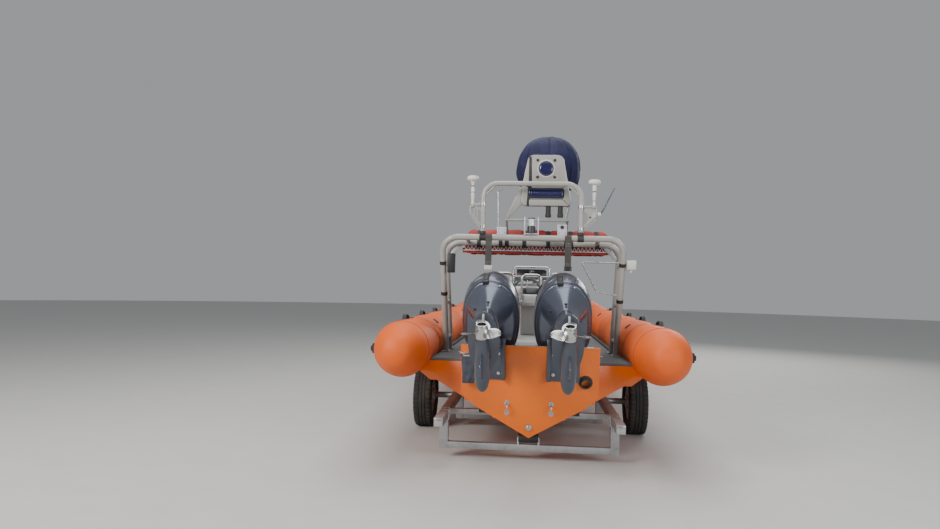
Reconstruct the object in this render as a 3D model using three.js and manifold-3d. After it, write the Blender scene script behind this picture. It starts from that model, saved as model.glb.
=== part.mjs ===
// Inshore rescue lifeboat on its launching trolley, in millimetres.
// +X is starboard, +Y is the bow and +Z is up. The transom's aft face is near Y = 0 while
// the boat is drawn, and the last lines move the middle of the length to Y = 0.
import * as THREE from 'three';
import { mergeVertices } from 'three/addons/utils/BufferGeometryUtils.js';
import Module from 'manifold-3d';

const wasm = await Module();
wasm.setup();

// Gaps between pieces that touch, and between pieces that turn on each other.
const seatGap = 0.4;
const runGap = 0.7;

// Rigid hull: a deep vee under a flat deck.
const keelZ = 260;
const deadriseSlope = 0.58;
const deckZ = 940;
const deckThickness = 25;
const deckTop = deckZ + seatGap + deckThickness;

// Transom box, which carries both engines.
const transomHalf = 620;
const transomTop = 1110;
const transomAft = { low: 110, high: -68 };
const transomWall = 75;

// Inflatable collar: straight sides, then an elliptical bow that rises.
const tubeX = 1150;
const tubeR = 250;
const tubeZ = 1060;
const tubeSternY = -120;
const tubeConeLength = 330;
const bowStartY = 4500;
const bowLength = 3100;
const bowRise = 450;
const tubeSides = 20;
const strake = { halfHeight: 32, thickness: 25 };
const bowSeamDegrees = 50;

// Outboard engines, each tilted up on its bracket.
const engineX = { port: -365, starboard: 295 };
const tiltAxis = { y: -100, z: 1150 };
const restTiltDegrees = 68;
const steerAxisAft = 30;
const propellerShaft = { up: -830, aft: 445 };

// Roll frame at the stern: two raked hoops, and a small mast hoop on the aft one.
const frameTubeR = 30;
const hoop = { halfWidth: 876, topZ: 2113, bend: 150, rake: 330, footZ: deckTop + 12 };
const aftHoopY = 400;
const forwardHoop = { y: 730, topZ: 2080 };
const mastTubeR = 24;
const mast = { centreX: -10, halfWidth: 471, topZ: 2640, bend: 140 };

// Righting bag, rolled up and lashed to the front of the forward hoop.
const bag = { x: 50, length: 1520, y: 898, z: 2096, r: 140 };

// Scanner tower and its covered scanner, a little to starboard of the mast.
const tower = { x: 139, y: 520, foot: 2300, low: 2438, high: 2946, thickness: 60 };
const cover = { x: 154, y: 1000, low: 2670, high: 3230, radius: 350 };

// Trolley.
const rail = { x: 800, z: 420, size: 80, aftY: -150, frontY: 5600 };
const axleY = 1750;
const wheel = { x: 1200, r: 360, width: 210, rimR: 205 };
const dropBeam = { z: 130, size: 60 };
const drawbar = { joinY: 7350, tipY: 9080 };
const jockey = { y: 8720, r: 110, width: 70, trail: 45 };

const colours = {
  orange: 0xd9541e,
  deckGrey: 0x6c7072,
  lightGrey: 0xb9b8b2,
  darkGrey: 0x33363a,
  black: 0x15161a,
  engine: 0x59606d,
  red: 0xb02a20,
  navy: 0x1c2668,
  blue: 0x1f2fa8,
  white: 0xe8e8e4,
  steel: 0x9ba0a4,
  zinc: 0xa4a8a8,
  tyre: 0x1b1b1c,
  glass: 0xc8d8dc,
  green: 0x2c8c5a,
};

const lifeboat = new THREE.Group();

function addMesh(name, geometry, colour, finish = {}, parent = lifeboat) {
  const material = new THREE.MeshStandardMaterial({
    color: colour,
    roughness: finish.roughness ?? 0.5,
    metalness: finish.metalness ?? 0,
  });
  const mesh = new THREE.Mesh(geometry, material);
  mesh.name = name;
  parent.add(mesh);
  return mesh;
}

const metal = { roughness: 0.4, metalness: 0.7 };

// Solids from closed meshes, and meshes from solids.
function solidOf(geometry) {
  const plain = geometry.clone();
  plain.deleteAttribute('normal');
  plain.deleteAttribute('uv');
  const merged = mergeVertices(plain, 1e-3);
  return new wasm.Manifold(new wasm.Mesh({
    numProp: 3,
    vertProperties: new Float32Array(merged.attributes.position.array),
    triVerts: new Uint32Array(merged.index.array),
  }));
}

function geometryOf(solid) {
  const mesh = solid.getMesh();
  const geometry = new THREE.BufferGeometry();
  geometry.setAttribute('position', new THREE.BufferAttribute(mesh.vertProperties, 3));
  geometry.setIndex(new THREE.BufferAttribute(mesh.triVerts, 1));
  geometry.computeVertexNormals();
  return geometry;
}

function join(...geometries) {
  return geometryOf(geometries.map(solidOf).reduce((sum, next) => sum.add(next)));
}

function cut(geometry, ...tools) {
  return geometryOf(tools.map(solidOf).reduce((left, tool) => left.subtract(tool), solidOf(geometry)));
}

function common(first, second) {
  return geometryOf(solidOf(first).intersect(solidOf(second)));
}

// The main body of a cut solid, without the slivers that the cut leaves beside it.
function mainBody(geometry) {
  const pieces = solidOf(geometry).decompose();
  return geometryOf(pieces.reduce((most, piece) => (piece.volume() > most.volume() ? piece : most)));
}

// A box from its low corner to its high corner.
function block(low, high) {
  const size = high.map((value, i) => value - low[i]);
  const middle = high.map((value, i) => (value + low[i]) / 2);
  return new THREE.BoxGeometry(...size).translate(...middle);
}

// A round bar from one point to another.
function rod(from, to, radius, sides = 12, endRadius = radius) {
  const start = new THREE.Vector3(...from);
  const end = new THREE.Vector3(...to);
  const along = end.clone().sub(start);
  const geometry = new THREE.CylinderGeometry(endRadius, radius, along.length(), sides);
  const turn = new THREE.Quaternion().setFromUnitVectors(new THREE.Vector3(0, 1, 0), along.normalize());
  return geometry.applyQuaternion(turn).translate(...start.add(end).divideScalar(2).toArray());
}

// A flat plate: an outline of (y, z) points pushed along X.
function plateAlongX(points, lowX, highX) {
  const shape = new THREE.Shape(points.map(([y, z]) => new THREE.Vector2(y, z)));
  const geometry = new THREE.ExtrudeGeometry(shape, { depth: highX - lowX, bevelEnabled: false });
  const turn = new THREE.Matrix4().set(0, 0, 1, lowX, 1, 0, 0, 0, 0, 1, 0, 0, 0, 0, 0, 1);
  return geometry.applyMatrix4(turn);
}

// A flat plate: an outline of (x, z) points pushed along Y.
function plateAlongY(points, lowY, highY) {
  const shape = new THREE.Shape(points.map(([x, z]) => new THREE.Vector2(x, z)));
  const geometry = new THREE.ExtrudeGeometry(shape, { depth: highY - lowY, bevelEnabled: false });
  return geometry.rotateX(Math.PI / 2).translate(0, highY, 0);
}

// A path through given points, with one step from each point to the next and a fixed
// sideways direction, so that a section keeps its upright along the whole path.
class PointPath extends THREE.Curve {
  constructor(points, upright) {
    super();
    this.points = points.map((point) => new THREE.Vector3(...point));
    this.upright = new THREE.Vector3(...upright);
  }

  getPoint(t) {
    const place = t * (this.points.length - 1);
    const index = Math.min(Math.floor(place + 1e-9), this.points.length - 2);
    return this.points[index].clone().lerp(this.points[index + 1], place - index);
  }

  getPointAt(u) {
    return this.getPoint(u);
  }

  tangentAtPoint(index) {
    const before = this.points[Math.max(index - 1, 0)];
    const here = this.points[index];
    const after = this.points[Math.min(index + 1, this.points.length - 1)];
    const tangent = new THREE.Vector3();
    if (index > 0) tangent.add(here.clone().sub(before).normalize());
    if (index < this.points.length - 1) tangent.add(after.clone().sub(here).normalize());
    return tangent.normalize();
  }

  computeFrenetFrames(segments) {
    const tangents = [];
    const normals = [];
    const binormals = [];
    for (let i = 0; i <= segments; i += 1) {
      const tangent = this.tangentAtPoint(i);
      const side = this.upright.clone().cross(tangent).normalize();
      tangents.push(tangent);
      normals.push(side);
      binormals.push(tangent.clone().cross(side));
    }
    return { tangents, normals, binormals };
  }
}

function sweep(outline, points, upright) {
  const shape = new THREE.Shape(outline.map(([x, y]) => new THREE.Vector2(x, y)));
  return new THREE.ExtrudeGeometry(shape, {
    steps: points.length - 1,
    bevelEnabled: false,
    extrudePath: new PointPath(points, upright),
  });
}

function circleOutline(radius, sides) {
  return Array.from({ length: sides }, (_, i) => {
    const angle = ((i + 0.5) * 2 * Math.PI) / sides;
    return [radius * Math.cos(angle), radius * Math.sin(angle)];
  });
}

// Corner points with each inner corner rounded by an arc.
function rounded(corners, radius, steps = 4) {
  const result = [corners[0]];
  for (let i = 1; i < corners.length - 1; i += 1) {
    const corner = new THREE.Vector3(...corners[i]);
    const back = new THREE.Vector3(...corners[i - 1]).sub(corner).normalize();
    const on = new THREE.Vector3(...corners[i + 1]).sub(corner).normalize();
    const half = back.angleTo(on) / 2;
    const inward = back.clone().add(on).normalize();
    const centre = corner.clone().add(inward.multiplyScalar(radius / Math.sin(half)));
    const start = corner.clone().add(back.multiplyScalar(radius / Math.tan(half))).sub(centre);
    const end = corner.clone().add(on.multiplyScalar(radius / Math.tan(half))).sub(centre);
    const sweepAngle = start.angleTo(end);
    const axis = start.clone().cross(end).normalize();
    for (let step = 0; step <= steps; step += 1) {
      const spoke = start.clone().applyAxisAngle(axis, (sweepAngle * step) / steps);
      result.push(centre.clone().add(spoke).toArray());
    }
  }
  result.push(corners[corners.length - 1]);
  return result;
}

function bentTube(corners, radius, bend, upright, sides = 10) {
  return sweep(circleOutline(radius, sides), rounded(corners, bend), upright);
}

// A solid through closed rings of points, all rings with the same number of points.
function loft(rings) {
  const count = rings[0].length;
  const vertices = rings.flat(2);
  const index = [];
  for (let r = 0; r < rings.length - 1; r += 1) {
    for (let i = 0; i < count; i += 1) {
      const a = r * count + i;
      const b = r * count + ((i + 1) % count);
      index.push(a, b, b + count, a, b + count, a + count);
    }
  }
  const addCap = (ring, base, flip) => {
    const middle = [0, 1, 2].map((k) => ring.reduce((sum, point) => sum + point[k], 0) / count);
    const centre = vertices.length / 3;
    vertices.push(...middle);
    for (let i = 0; i < count; i += 1) {
      const a = base + i;
      const b = base + ((i + 1) % count);
      index.push(...(flip ? [b, a, centre] : [a, b, centre]));
    }
  };
  addCap(rings[0], 0, true);
  addCap(rings[rings.length - 1], (rings.length - 1) * count, false);
  const geometry = new THREE.BufferGeometry();
  geometry.setAttribute('position', new THREE.Float32BufferAttribute(vertices, 3));
  geometry.setIndex(signedVolume(vertices, index) < 0 ? index.reverse() : index);
  return geometry;
}

function signedVolume(vertices, index) {
  const at = (i) => new THREE.Vector3(...vertices.slice(3 * i, 3 * i + 3));
  let total = 0;
  for (let i = 0; i < index.length; i += 3) {
    total += at(index[i]).dot(at(index[i + 1]).cross(at(index[i + 2])));
  }
  return total;
}

// A turned solid: (radius, along) points that start and end on the axis.
function turned(profile, segments = 24) {
  return new THREE.LatheGeometry(profile.map(([r, along]) => new THREE.Vector2(r, along)), segments);
}

// The collar's centre line on the starboard side, by its angle round the bow in degrees.
function tubeCentre(degrees) {
  const angle = THREE.MathUtils.degToRad(degrees);
  const rise = Math.sin(angle) ** 2 * bowRise;
  return [tubeX * Math.cos(angle), bowStartY + bowLength * Math.sin(angle), tubeZ + rise];
}

const mirrored = ([x, y, z]) => [-x, y, z];

// The side tube runs from its stern end to the seam, and the bow tube from seam to seam.
function sideCentreLine(sign) {
  const bend = [0, 10, 20, 30, 40, bowSeamDegrees].map(tubeCentre);
  const line = [[tubeX, tubeSternY, tubeZ], ...bend];
  return sign < 0 ? line.map(mirrored) : line;
}

function bowCentreLine(seam) {
  const angles = [seam, 58, 66, 73, 79, 85];
  const starboard = angles.map(tubeCentre);
  return [...starboard, tubeCentre(90), ...starboard.map(mirrored).reverse()];
}

// The collar's section: a round tube with the rubbing strake on its outer side.
function collarOutline(outward) {
  const points = circleOutline(tubeR, tubeSides).map(([x, y]) => [x * outward, y]);
  const flat = points.filter(([x, y]) => !(x * outward > 0 && Math.abs(y) < strake.halfHeight + 2));
  const reach = tubeR * Math.cos(Math.PI / tubeSides);
  const bump = [
    [outward * reach, -strake.halfHeight],
    [outward * (reach + strake.thickness), -strake.halfHeight * 0.6],
    [outward * (reach + strake.thickness), strake.halfHeight * 0.6],
    [outward * reach, strake.halfHeight],
  ];
  const start = flat.findIndex(([x, y], i) => {
    const next = flat[(i + 1) % flat.length];
    return x * outward > 0 && next[0] * outward > 0 && y * next[1] < 0;
  });
  const ordered = [...flat.slice(start + 1), ...flat.slice(0, start + 1)];
  const rising = flat[start][1] < 0;
  return [...ordered, ...(rising ? bump : bump.reverse())];
}

const up = [0, 0, 1];

// The collar's room in the hull and the deck: its own section, one seat gap larger.
function collarRoom() {
  const outline = circleOutline(tubeR + seatGap / Math.cos(Math.PI / tubeSides), tubeSides);
  return [
    sweep(outline, sideCentreLine(1), up),
    sweep(outline, sideCentreLine(-1), up),
    sweep(outline, bowCentreLine(bowSeamDegrees - 1), up),
  ];
}

// The collar's stern ends taper to a blunt nose.
function sternCone(sign) {
  const steps = [[1, 0], [0.93, 0.3], [0.78, 0.6], [0.56, 0.85], [0.34, 1]];
  return loft(steps.map(([scale, along]) => circleOutline(tubeR, tubeSides).map(([a, b]) => [
    sign * tubeX + a * scale,
    tubeSternY - tubeConeLength * along,
    tubeZ + b * scale,
  ])));
}

function addCollar() {
  for (const [side, sign] of [['port', -1], ['starboard', 1]]) {
    const line = sideCentreLine(sign);
    const tube = join(sweep(collarOutline(-sign), line, up), sternCone(sign));
    addMesh(`tube_${side}`, tube, colours.orange, { roughness: 0.6 });
  }
  const seam = sweep(collarOutline(-1), bowCentreLine(bowSeamDegrees), up);
  const keep = sideCentreLine(1);
  const gap = (sign) => {
    const end = new THREE.Vector3(...keep[keep.length - 1]);
    const before = new THREE.Vector3(...keep[keep.length - 2]);
    const along = end.clone().sub(before).normalize();
    const middle = end.clone().add(along.clone().multiplyScalar(-400 + seatGap));
    const slab = new THREE.BoxGeometry(700, 800, 700);
    const turn = new THREE.Quaternion().setFromUnitVectors(new THREE.Vector3(0, 1, 0), along);
    const placed = slab.applyQuaternion(turn).translate(...middle.toArray());
    return sign > 0 ? placed : mirrorX(placed);
  };
  addMesh('tube_bow', cut(seam, gap(1), gap(-1)), colours.orange, { roughness: 0.6 });
}

function mirrorX(geometry) {
  const flipped = geometry.clone().scale(-1, 1, 1);
  const index = Array.from(flipped.index ? flipped.index.array : flipped.attributes.position.array.keys());
  if (!flipped.index) index.length = flipped.attributes.position.count;
  for (let i = 0; i < index.length; i += 3) {
    [index[i + 1], index[i + 2]] = [index[i + 2], index[i + 1]];
  }
  flipped.setIndex(index);
  return flipped;
}

// Hull sections, from the stern to the stem.
const hullSections = [
  // y, keel z, chine x, chine z, shoulder x, shoulder z, deck z
  [120, keelZ, 860, 760, 1050, 860, deckZ],
  [3000, keelZ, 860, 765, 1050, 865, deckZ],
  [4700, keelZ + 15, 835, 785, 1020, 880, deckZ],
  [5250, keelZ + 60, 775, 835, 975, 915, deckZ],
  [5800, keelZ + 150, 680, 900, 900, 965, deckZ + 50],
  [6300, keelZ + 285, 550, 980, 790, 1035, deckZ + 125],
  [6800, keelZ + 520, 380, 1085, 610, 1125, deckZ + 230],
  [7250, keelZ + 810, 170, 1200, 355, 1225, deckZ + 345],
  [7480, keelZ + 990, 50, 1272, 120, 1290, deckZ + 410],
];

function hullRing([y, keel, chineX, chineZ, shoulderX, shoulderZ, top]) {
  const half = [[chineX, chineZ], [chineX + 60, chineZ], [shoulderX, shoulderZ], [shoulderX, top]];
  return [
    [0, y, keel],
    ...half.map(([x, z]) => [x, y, z]),
    [0, y, top],
    ...half.map(([x, z]) => [-x, y, z]).reverse(),
  ];
}

function transomBox() {
  const inside = 600;
  const side = [
    [inside, 180],
    [transomAft.low + 12, 180],
    [transomAft.high, transomTop],
    [transomAft.high + transomWall, transomTop],
    [transomAft.high + transomWall + 35, deckZ],
    [inside, deckZ],
  ];
  const chine = 500;
  const half = [
    [chine, keelZ + chine * deadriseSlope],
    [transomHalf, 665],
    [transomHalf, transomTop + 20],
  ];
  const across = [[0, keelZ], ...half, ...half.map(([x, z]) => [-x, z]).reverse()];
  return common(
    plateAlongX(side, -transomHalf - 50, transomHalf + 50),
    plateAlongY(across, -300, inside + 100),
  );
}

function addHull() {
  const shell = join(loft(hullSections.map(hullRing)), transomBox());
  addMesh('hull', mainBody(cut(shell, ...collarRoom())), colours.orange, { roughness: 0.35 });
}

// The deck plate lies on the hull between the tubes, and stops short of the transom's wall.
function addDeck() {
  const floor = seatGap;
  const rings = hullSections.slice(0, -1).map(([y, , , , shoulderX, , top], i) => {
    const front = i === 0 ? transomAft.high + transomWall + 36 : y;
    return [
      [shoulderX, front, top + floor],
      [shoulderX, front, top + floor + deckThickness],
      [-shoulderX, front, top + floor + deckThickness],
      [-shoulderX, front, top + floor],
    ];
  });
  rings[0] = rings[0].map(([x, y, z]) => [Math.sign(x) * transomHalf, y, z]);
  rings.splice(1, 0, rings[0].map(([x, , z]) => [x, 120, z]));
  rings.splice(2, 0, rings[1].map(([x, , z]) => [Math.sign(x) * 1050, 121, z]));
  const plate = mainBody(cut(loft(rings), ...collarRoom()));
  addMesh('deck', plate, colours.deckGrey, { roughness: 0.9 });
}

// Helm console with its screen, hand rail, wheel and engine levers.
const console_ = { aftY: 3420, frontY: 4120, half: 310, top: 1800, base: deckTop + seatGap };
const helm = { y: 3385, z: 1560, r: 190, tiltDegrees: 35 };

function addConsole() {
  const { aftY, frontY, half, top, base } = console_;
  const side = [
    [aftY + 60, base],
    [frontY, base],
    [frontY + 20, base + 380],
    [frontY - 150, top],
    [frontY - 330, top],
    [aftY + 40, base + 660],
    [aftY + 40, base + 420],
    [aftY + 100, base + 320],
  ];
  const body = plateAlongX(side, -half, half);
  const railY = frontY - 240;
  const handRail = bentTube([
    [-half + 40, railY, top - 20],
    [-half + 40, railY + 40, top + 130],
    [half - 40, railY + 40, top + 130],
    [half - 40, railY, top - 20],
  ], 14, 60, [0, 1, 0], 8);
  const screen = plateAlongX([
    [frontY - 165, top - 20],
    [frontY - 145, top - 20],
    [frontY - 172, top + 100],
    [frontY - 182, top + 100],
  ], -half + 90, half - 90);
  const leverBox = block([150, aftY - 25, base + 600], [230, aftY + 60, base + 690]);
  const levers = [168, 205].flatMap((x) => [
    rod([x, aftY - 5, base + 660], [x, aftY - 60, base + 790], 9, 6),
    rod([x - 14, aftY - 60, base + 790], [x + 14, aftY - 60, base + 790], 16, 8),
  ]);
  addMesh('console', join(body, handRail, screen, leverBox, ...levers), colours.lightGrey);
}

// The steering wheel turns on the console's sloping face.
function addHelmWheel() {
  const ring = new THREE.TorusGeometry(helm.r, 14, 6, 20);
  const spokes = [90, 210, 330].map((degrees) => {
    const angle = THREE.MathUtils.degToRad(degrees);
    return rod([0, 0, 0], [(helm.r - 5) * Math.cos(angle), (helm.r - 5) * Math.sin(angle), 0], 10, 6);
  });
  const hub = rod([0, 0, -hubDepth()], [0, 0, 20], 34, 12);
  const wheelSolid = join(ring, hub, ...spokes);
  wheelSolid.rotateX(Math.PI / 2 + THREE.MathUtils.degToRad(helm.tiltDegrees - 35));
  wheelSolid.translate(-60, helm.y - 60, helm.z);
  addMesh('steering_wheel', wheelSolid, colours.black);
}

function hubDepth() {
  return console_.aftY + 40 - (helm.y - 60) - runGap;
}

// Three straddle seats: the helm's seat behind the console and two crew seats behind it.
const seats = [
  // x, middle y
  [0, 2780],
  [-330, 1950],
  [330, 1950],
];
const seatSize = { half: 130, length: 620, podTop: 1545, cushion: 90, hoopTop: 1790 };

function addSeats() {
  const base = deckTop + seatGap;
  const pods = seats.flatMap(([x, y]) => {
    const { half, length, podTop, hoopTop } = seatSize;
    const pod = plateAlongX([
      [y - length / 2 + 40, base],
      [y + length / 2 - 60, base],
      [y + length / 2, podTop - 120],
      [y + length / 2, podTop],
      [y - length / 2, podTop],
      [y - length / 2, podTop - 160],
    ], x - half, x + half);
    const back = y - length / 2 - 18;
    const hoopTube = bentTube([
      [x - half + 10, back, podTop - 140],
      [x - half + 10, back, hoopTop],
      [x + half - 10, back, hoopTop],
      [x + half - 10, back, podTop - 140],
    ], 16, 60, [0, 1, 0], 8);
    const lug = block([x - half, back - 12, podTop - 150], [x + half, y - length / 2 + 5, podTop - 90]);
    const low = podTop - 5;
    const cushion = plateAlongX([
      [y - length / 2 + 15, low],
      [y + length / 2 - 15, low],
      [y + length / 2 - 40, podTop + seatSize.cushion],
      [y - length / 2 + 60, podTop + seatSize.cushion],
      [y - length / 2 + 15, podTop + seatSize.cushion + 25],
    ], x - half + 5, x + half - 5);
    return [pod, hoopTube, lug, cushion];
  });
  const plinth = block([-500, 1560, base], [500, 3060, base + 60]);
  addMesh('seats', join(plinth, ...pods), colours.lightGrey, { roughness: 0.45 });
}

// Anchor locker with a hinged lid, and the towing post at the bow.
const locker = { aftY: 4560, frontY: 5180, half: 290, top: 1330, lid: 28 };

function addLocker() {
  const { aftY, frontY, half, top, lid } = locker;
  const base = deckTop + seatGap;
  const outer = block([-half, aftY, base], [half, frontY, top]);
  const well = block([-half + 25, aftY + 25, base + 60], [half - 25, frontY - 25, top + 50]);
  addMesh('anchor_locker', cut(outer, well), colours.orange, { roughness: 0.4 });
  const cover_ = block([-half - 12, aftY - 12, top + seatGap], [half + 12, frontY, top + seatGap + lid]);
  const knuckles = [-180, 180].map((x) => rod(
    [x - 30, frontY + 8, top + lid / 2],
    [x + 30, frontY + 8, top + lid / 2],
    9,
    10,
  ));
  addMesh('locker_lid', join(cover_, ...knuckles), colours.orange, { roughness: 0.4 });
}

// The deck plate's upper face at a station.
function deckTopAt(y) {
  const next = Math.max(hullSections.findIndex(([sectionY]) => sectionY >= y), 1);
  const low = hullSections[next - 1];
  const high = hullSections[next];
  const share = (y - low[0]) / (high[0] - low[0]);
  return low[6] + (high[6] - low[6]) * share + seatGap + deckThickness;
}

function addBowPost() {
  const y = 6050;
  const foot = deckTopAt(y) + seatGap;
  const aft = deckTopAt(y - 90) + seatGap;
  const fore = deckTopAt(y + 90) + seatGap;
  const post = rod([0, y, foot + 8], [0, y, foot + 300], 34, 16);
  const bar = rod([-110, y, foot + 240], [110, y, foot + 240], 15, 10);
  const plate = plateAlongX([[y - 90, aft], [y + 90, fore], [y + 90, fore + 14], [y - 90, aft + 14]], -90, 90);
  addMesh('bow_post', join(post, bar, plate), colours.steel, metal);
}

// One hoop of the roll frame: raked legs, rounded top corners.
function hoopCorners(y, topZ) {
  const { halfWidth, rake, footZ } = hoop;
  return [
    [-halfWidth + 26, y + rake, footZ],
    [-halfWidth, y, topZ],
    [halfWidth, y, topZ],
    [halfWidth - 26, y + rake, footZ],
  ];
}

function addRollFrame() {
  const sectionUp = [0, 1, 0];
  const makeHoop = (y, topZ) => {
    const tube = bentTube(hoopCorners(y, topZ), frameTubeR, hoop.bend, sectionUp);
    const feet = [-1, 1].map((s) => block(
      [s * (hoop.halfWidth - 26) - 45, y + hoop.rake - 60, deckTop + seatGap],
      [s * (hoop.halfWidth - 26) + 34, y + hoop.rake + 60, hoop.footZ + 12],
    ));
    return join(tube, ...feet);
  };
  const aft = join(makeHoop(aftHoopY, hoop.topZ), ...hoopFittings(), ...legFittings());
  addMesh('roll_hoop_aft', aft, colours.lightGrey, { roughness: 0.35 });

  const links = [];
  for (const sign of [-1, 1]) {
    for (const share of [0.12, 0.45, 0.8]) {
      const z = hoop.footZ + (hoop.topZ - hoop.footZ) * share;
      const lean = hoop.rake * (1 - share);
      const x = sign * (hoop.halfWidth - 26 * (1 - share));
      links.push(rod([x, aftHoopY + lean, z], [x, forwardHoop.y + lean, z - 33 * share], 20, 8));
    }
  }
  for (const x of [-640, 640]) {
    links.push(rod([x, aftHoopY, hoop.topZ], [x, forwardHoop.y, forwardHoop.topZ], 20, 8));
  }
  const grown = bentTube(hoopCorners(aftHoopY, hoop.topZ), frameTubeR + seatGap, hoop.bend, sectionUp);
  const forward = cut(join(makeHoop(forwardHoop.y, forwardHoop.topZ), ...links), grown);
  addMesh('roll_hoop_forward', forward, colours.lightGrey, { roughness: 0.35 });
}

// Small mast hoop, with its corner braces and the outriggers that carry the aerials.
const outrigger = { port: { x: -586, z: 2425 }, starboard: { x: 584, z: 2420 } };

function addMastHoop() {
  const { centreX, halfWidth, topZ, bend } = mast;
  const y = aftHoopY;
  const foot = hoop.topZ + frameTubeR + seatGap;
  const left = centreX - halfWidth;
  const right = centreX + halfWidth;
  const tube = bentTube(
    [[left, y, foot], [left, y, topZ], [right, y, topZ], [right, y, foot]],
    mastTubeR, bend, [0, 1, 0],
  );
  const feet = [left, right].map((x) => rod([x, y, foot], [x, y, foot + 30], 30, 12));
  const braces = [[left, 132], [right, -132]].map(([x, reach]) => rod(
    [x, y, topZ - 136], [x + reach, y, topZ], 12, 8,
  ));
  const port = outrigger.port;
  const portArm = bentTube([
    [left, y, port.z + 9],
    [port.x - 20, y, port.z],
    [port.x - 20, y, port.z - 80],
    [left, y, port.z - 215],
  ], 11, 30, [0, 1, 0], 8);
  const star = outrigger.starboard;
  const starArm = bentTube([
    [right, y, star.z],
    [star.x + 20, y, star.z],
    [star.x + 20, y, star.z - 90],
    [right, y, star.z - 220],
  ], 11, 12, [0, 1, 0], 8);
  const stubs = [
    rod([star.x + 20, y, star.z - 70], [star.x + 60, y, star.z - 70], 14, 10),
    rod([port.x, y, port.z - 20], [port.x, y, port.z + 14], 19, 12),
    rod([star.x, y, star.z - 14], [star.x, y, star.z + 14], 19, 12),
  ];
  addMesh('mast_hoop', join(tube, ...feet, ...braces, portArm, starArm, ...stubs), colours.lightGrey, metal);
}

// Two mushroom aerials on poles, and a whip on the starboard outrigger.
function addAerials() {
  const y = aftHoopY;
  const aerials = [['port', outrigger.port, 2727], ['starboard', outrigger.starboard, 2680]];
  for (const [side, place, top] of aerials) {
    const foot = place.z + 14 + seatGap;
    const profile = [
      [0, foot], [17, foot], [17, foot + 60], [12, foot + 70], [14, top - 62], [30, top - 58],
      [57, top - 44], [57, top - 16], [44, top - 3], [0, top],
    ];
    const aerial = turned(profile, 16).rotateX(Math.PI / 2).translate(place.x, y, 0);
    addMesh(`aerial_${side}`, aerial, colours.white);
  }
  const root = [outrigger.starboard.x + 75, y, outrigger.starboard.z - 75];
  const knob = rod(
    [outrigger.starboard.x + 60 + seatGap, y, outrigger.starboard.z - 70],
    [outrigger.starboard.x + 90, y, outrigger.starboard.z - 70],
    18,
  );
  const whip = rod(root, [root[0] + 118, y, root[2] + 262], 5, 8);
  addMesh('aerial_whip', join(knob, whip), colours.white);
}

// Webbing straps from the aft hoop down to the cowls, each with a buckle at its end.
const straps = [['port', -419], ['starboard', 343]];
const strapSize = { half: 31, thickness: 4, low: 1800 };

// Righting bag: a rolled bag that lies against the forward hoop, a little flattened by it.
function addRightingBag() {
  const half = bag.length / 2;
  const profile = [
    [0, -half], [70, -half + 4], [bag.r - 20, -half + 40], [bag.r, -half + 120],
    [bag.r, half - 120], [bag.r - 20, half - 40], [70, half - 4], [0, half],
  ];
  const roll = turned(profile, 24).rotateZ(-Math.PI / 2).translate(bag.x, bag.y, bag.z);
  const hoopRoom = bentTube(
    hoopCorners(forwardHoop.y, forwardHoop.topZ), frameTubeR + seatGap, hoop.bend, [0, 1, 0],
  );
  const rolled = mainBody(cut(roll, hoopRoom));
  addMesh('righting_bag', rolled, colours.red, { roughness: 0.8 });
}

function addStraps() {
  const inner = frameTubeR + 2.6 * seatGap;
  const outer = inner + strapSize.thickness;
  for (const [side, x] of straps) {
    const steps = 14;
    const arc = Array.from({ length: steps + 1 }, (_, i) => {
      const angle = Math.PI - (i / steps) * 1.72 * Math.PI;
      return [aftHoopY + outer * Math.cos(angle), hoop.topZ + outer * Math.sin(angle)];
    });
    const innerArc = Array.from({ length: steps + 1 }, (_, i) => {
      const angle = Math.PI - (i / steps) * 1.72 * Math.PI;
      return [aftHoopY + inner * Math.cos(angle), hoop.topZ + inner * Math.sin(angle)];
    }).reverse();
    const tail = [
      [aftHoopY - inner, strapSize.low + 20],
      [aftHoopY - outer, strapSize.low + 20],
    ];
    const webbing = plateAlongX([...arc, ...innerArc, ...tail], x - strapSize.half, x + strapSize.half);
    const buckle = block(
      [x - strapSize.half - 5, aftHoopY - outer - 6, strapSize.low],
      [x + strapSize.half + 5, aftHoopY - inner + 4, strapSize.low + 42],
    );
    addMesh(`strap_${side}`, join(webbing, buckle), colours.black, { roughness: 0.9 });
  }
}

// Plates and the stern light bracket that stand on top of the aft hoop.
const sternLight = { x: -10, foot: hoop.topZ + frameTubeR + 14 };

function hoopFittings() {
  const foot = hoop.topZ + frameTubeR - 6;
  const plates = [[-298, 80], [262, 110]].map(([x, high]) => block(
    [x - 45, aftHoopY - 6, foot],
    [x + 45, aftHoopY + 6, foot + high],
  ));
  const { x } = sternLight;
  const bracket = cut(
    block([x - 72, aftHoopY - 30, foot], [x + 72, aftHoopY + 30, foot + 182]),
    block([x - 58, aftHoopY - 60, sternLight.foot], [x + 58, aftHoopY + 60, foot + 200]),
  );
  return [...plates, bracket];
}

function addSternLight() {
  const { x, foot } = sternLight;
  const low = foot + seatGap;
  const lamp = turned([
    [0, low], [38, low], [38, low + 40], [33, low + 42], [33, low + 128], [38, low + 130], [38, low + 150],
    [0, low + 150],
  ], 18);
  addMesh('stern_light', lamp.rotateX(Math.PI / 2).translate(x, aftHoopY, 0), colours.darkGrey);
}

// An outline with each sharp corner traded for a short arc of three points.
function easeCorners(points, radius) {
  const count = points.length;
  return points.flatMap(([x, z], i) => {
    const reach = [points[(i + count - 1) % count], points[(i + 1) % count]].map(([px, pz]) => {
      const away = Math.hypot(px - x, pz - z);
      const share = Math.min(radius, away * 0.45) / away;
      return [x + (px - x) * share, z + (pz - z) * share];
    });
    const middle = [0, 1].map((k) => (reach[0][k] + reach[1][k] + 2 * [x, z][k]) / 4);
    return [reach[0], middle, reach[1]];
  });
}

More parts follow.
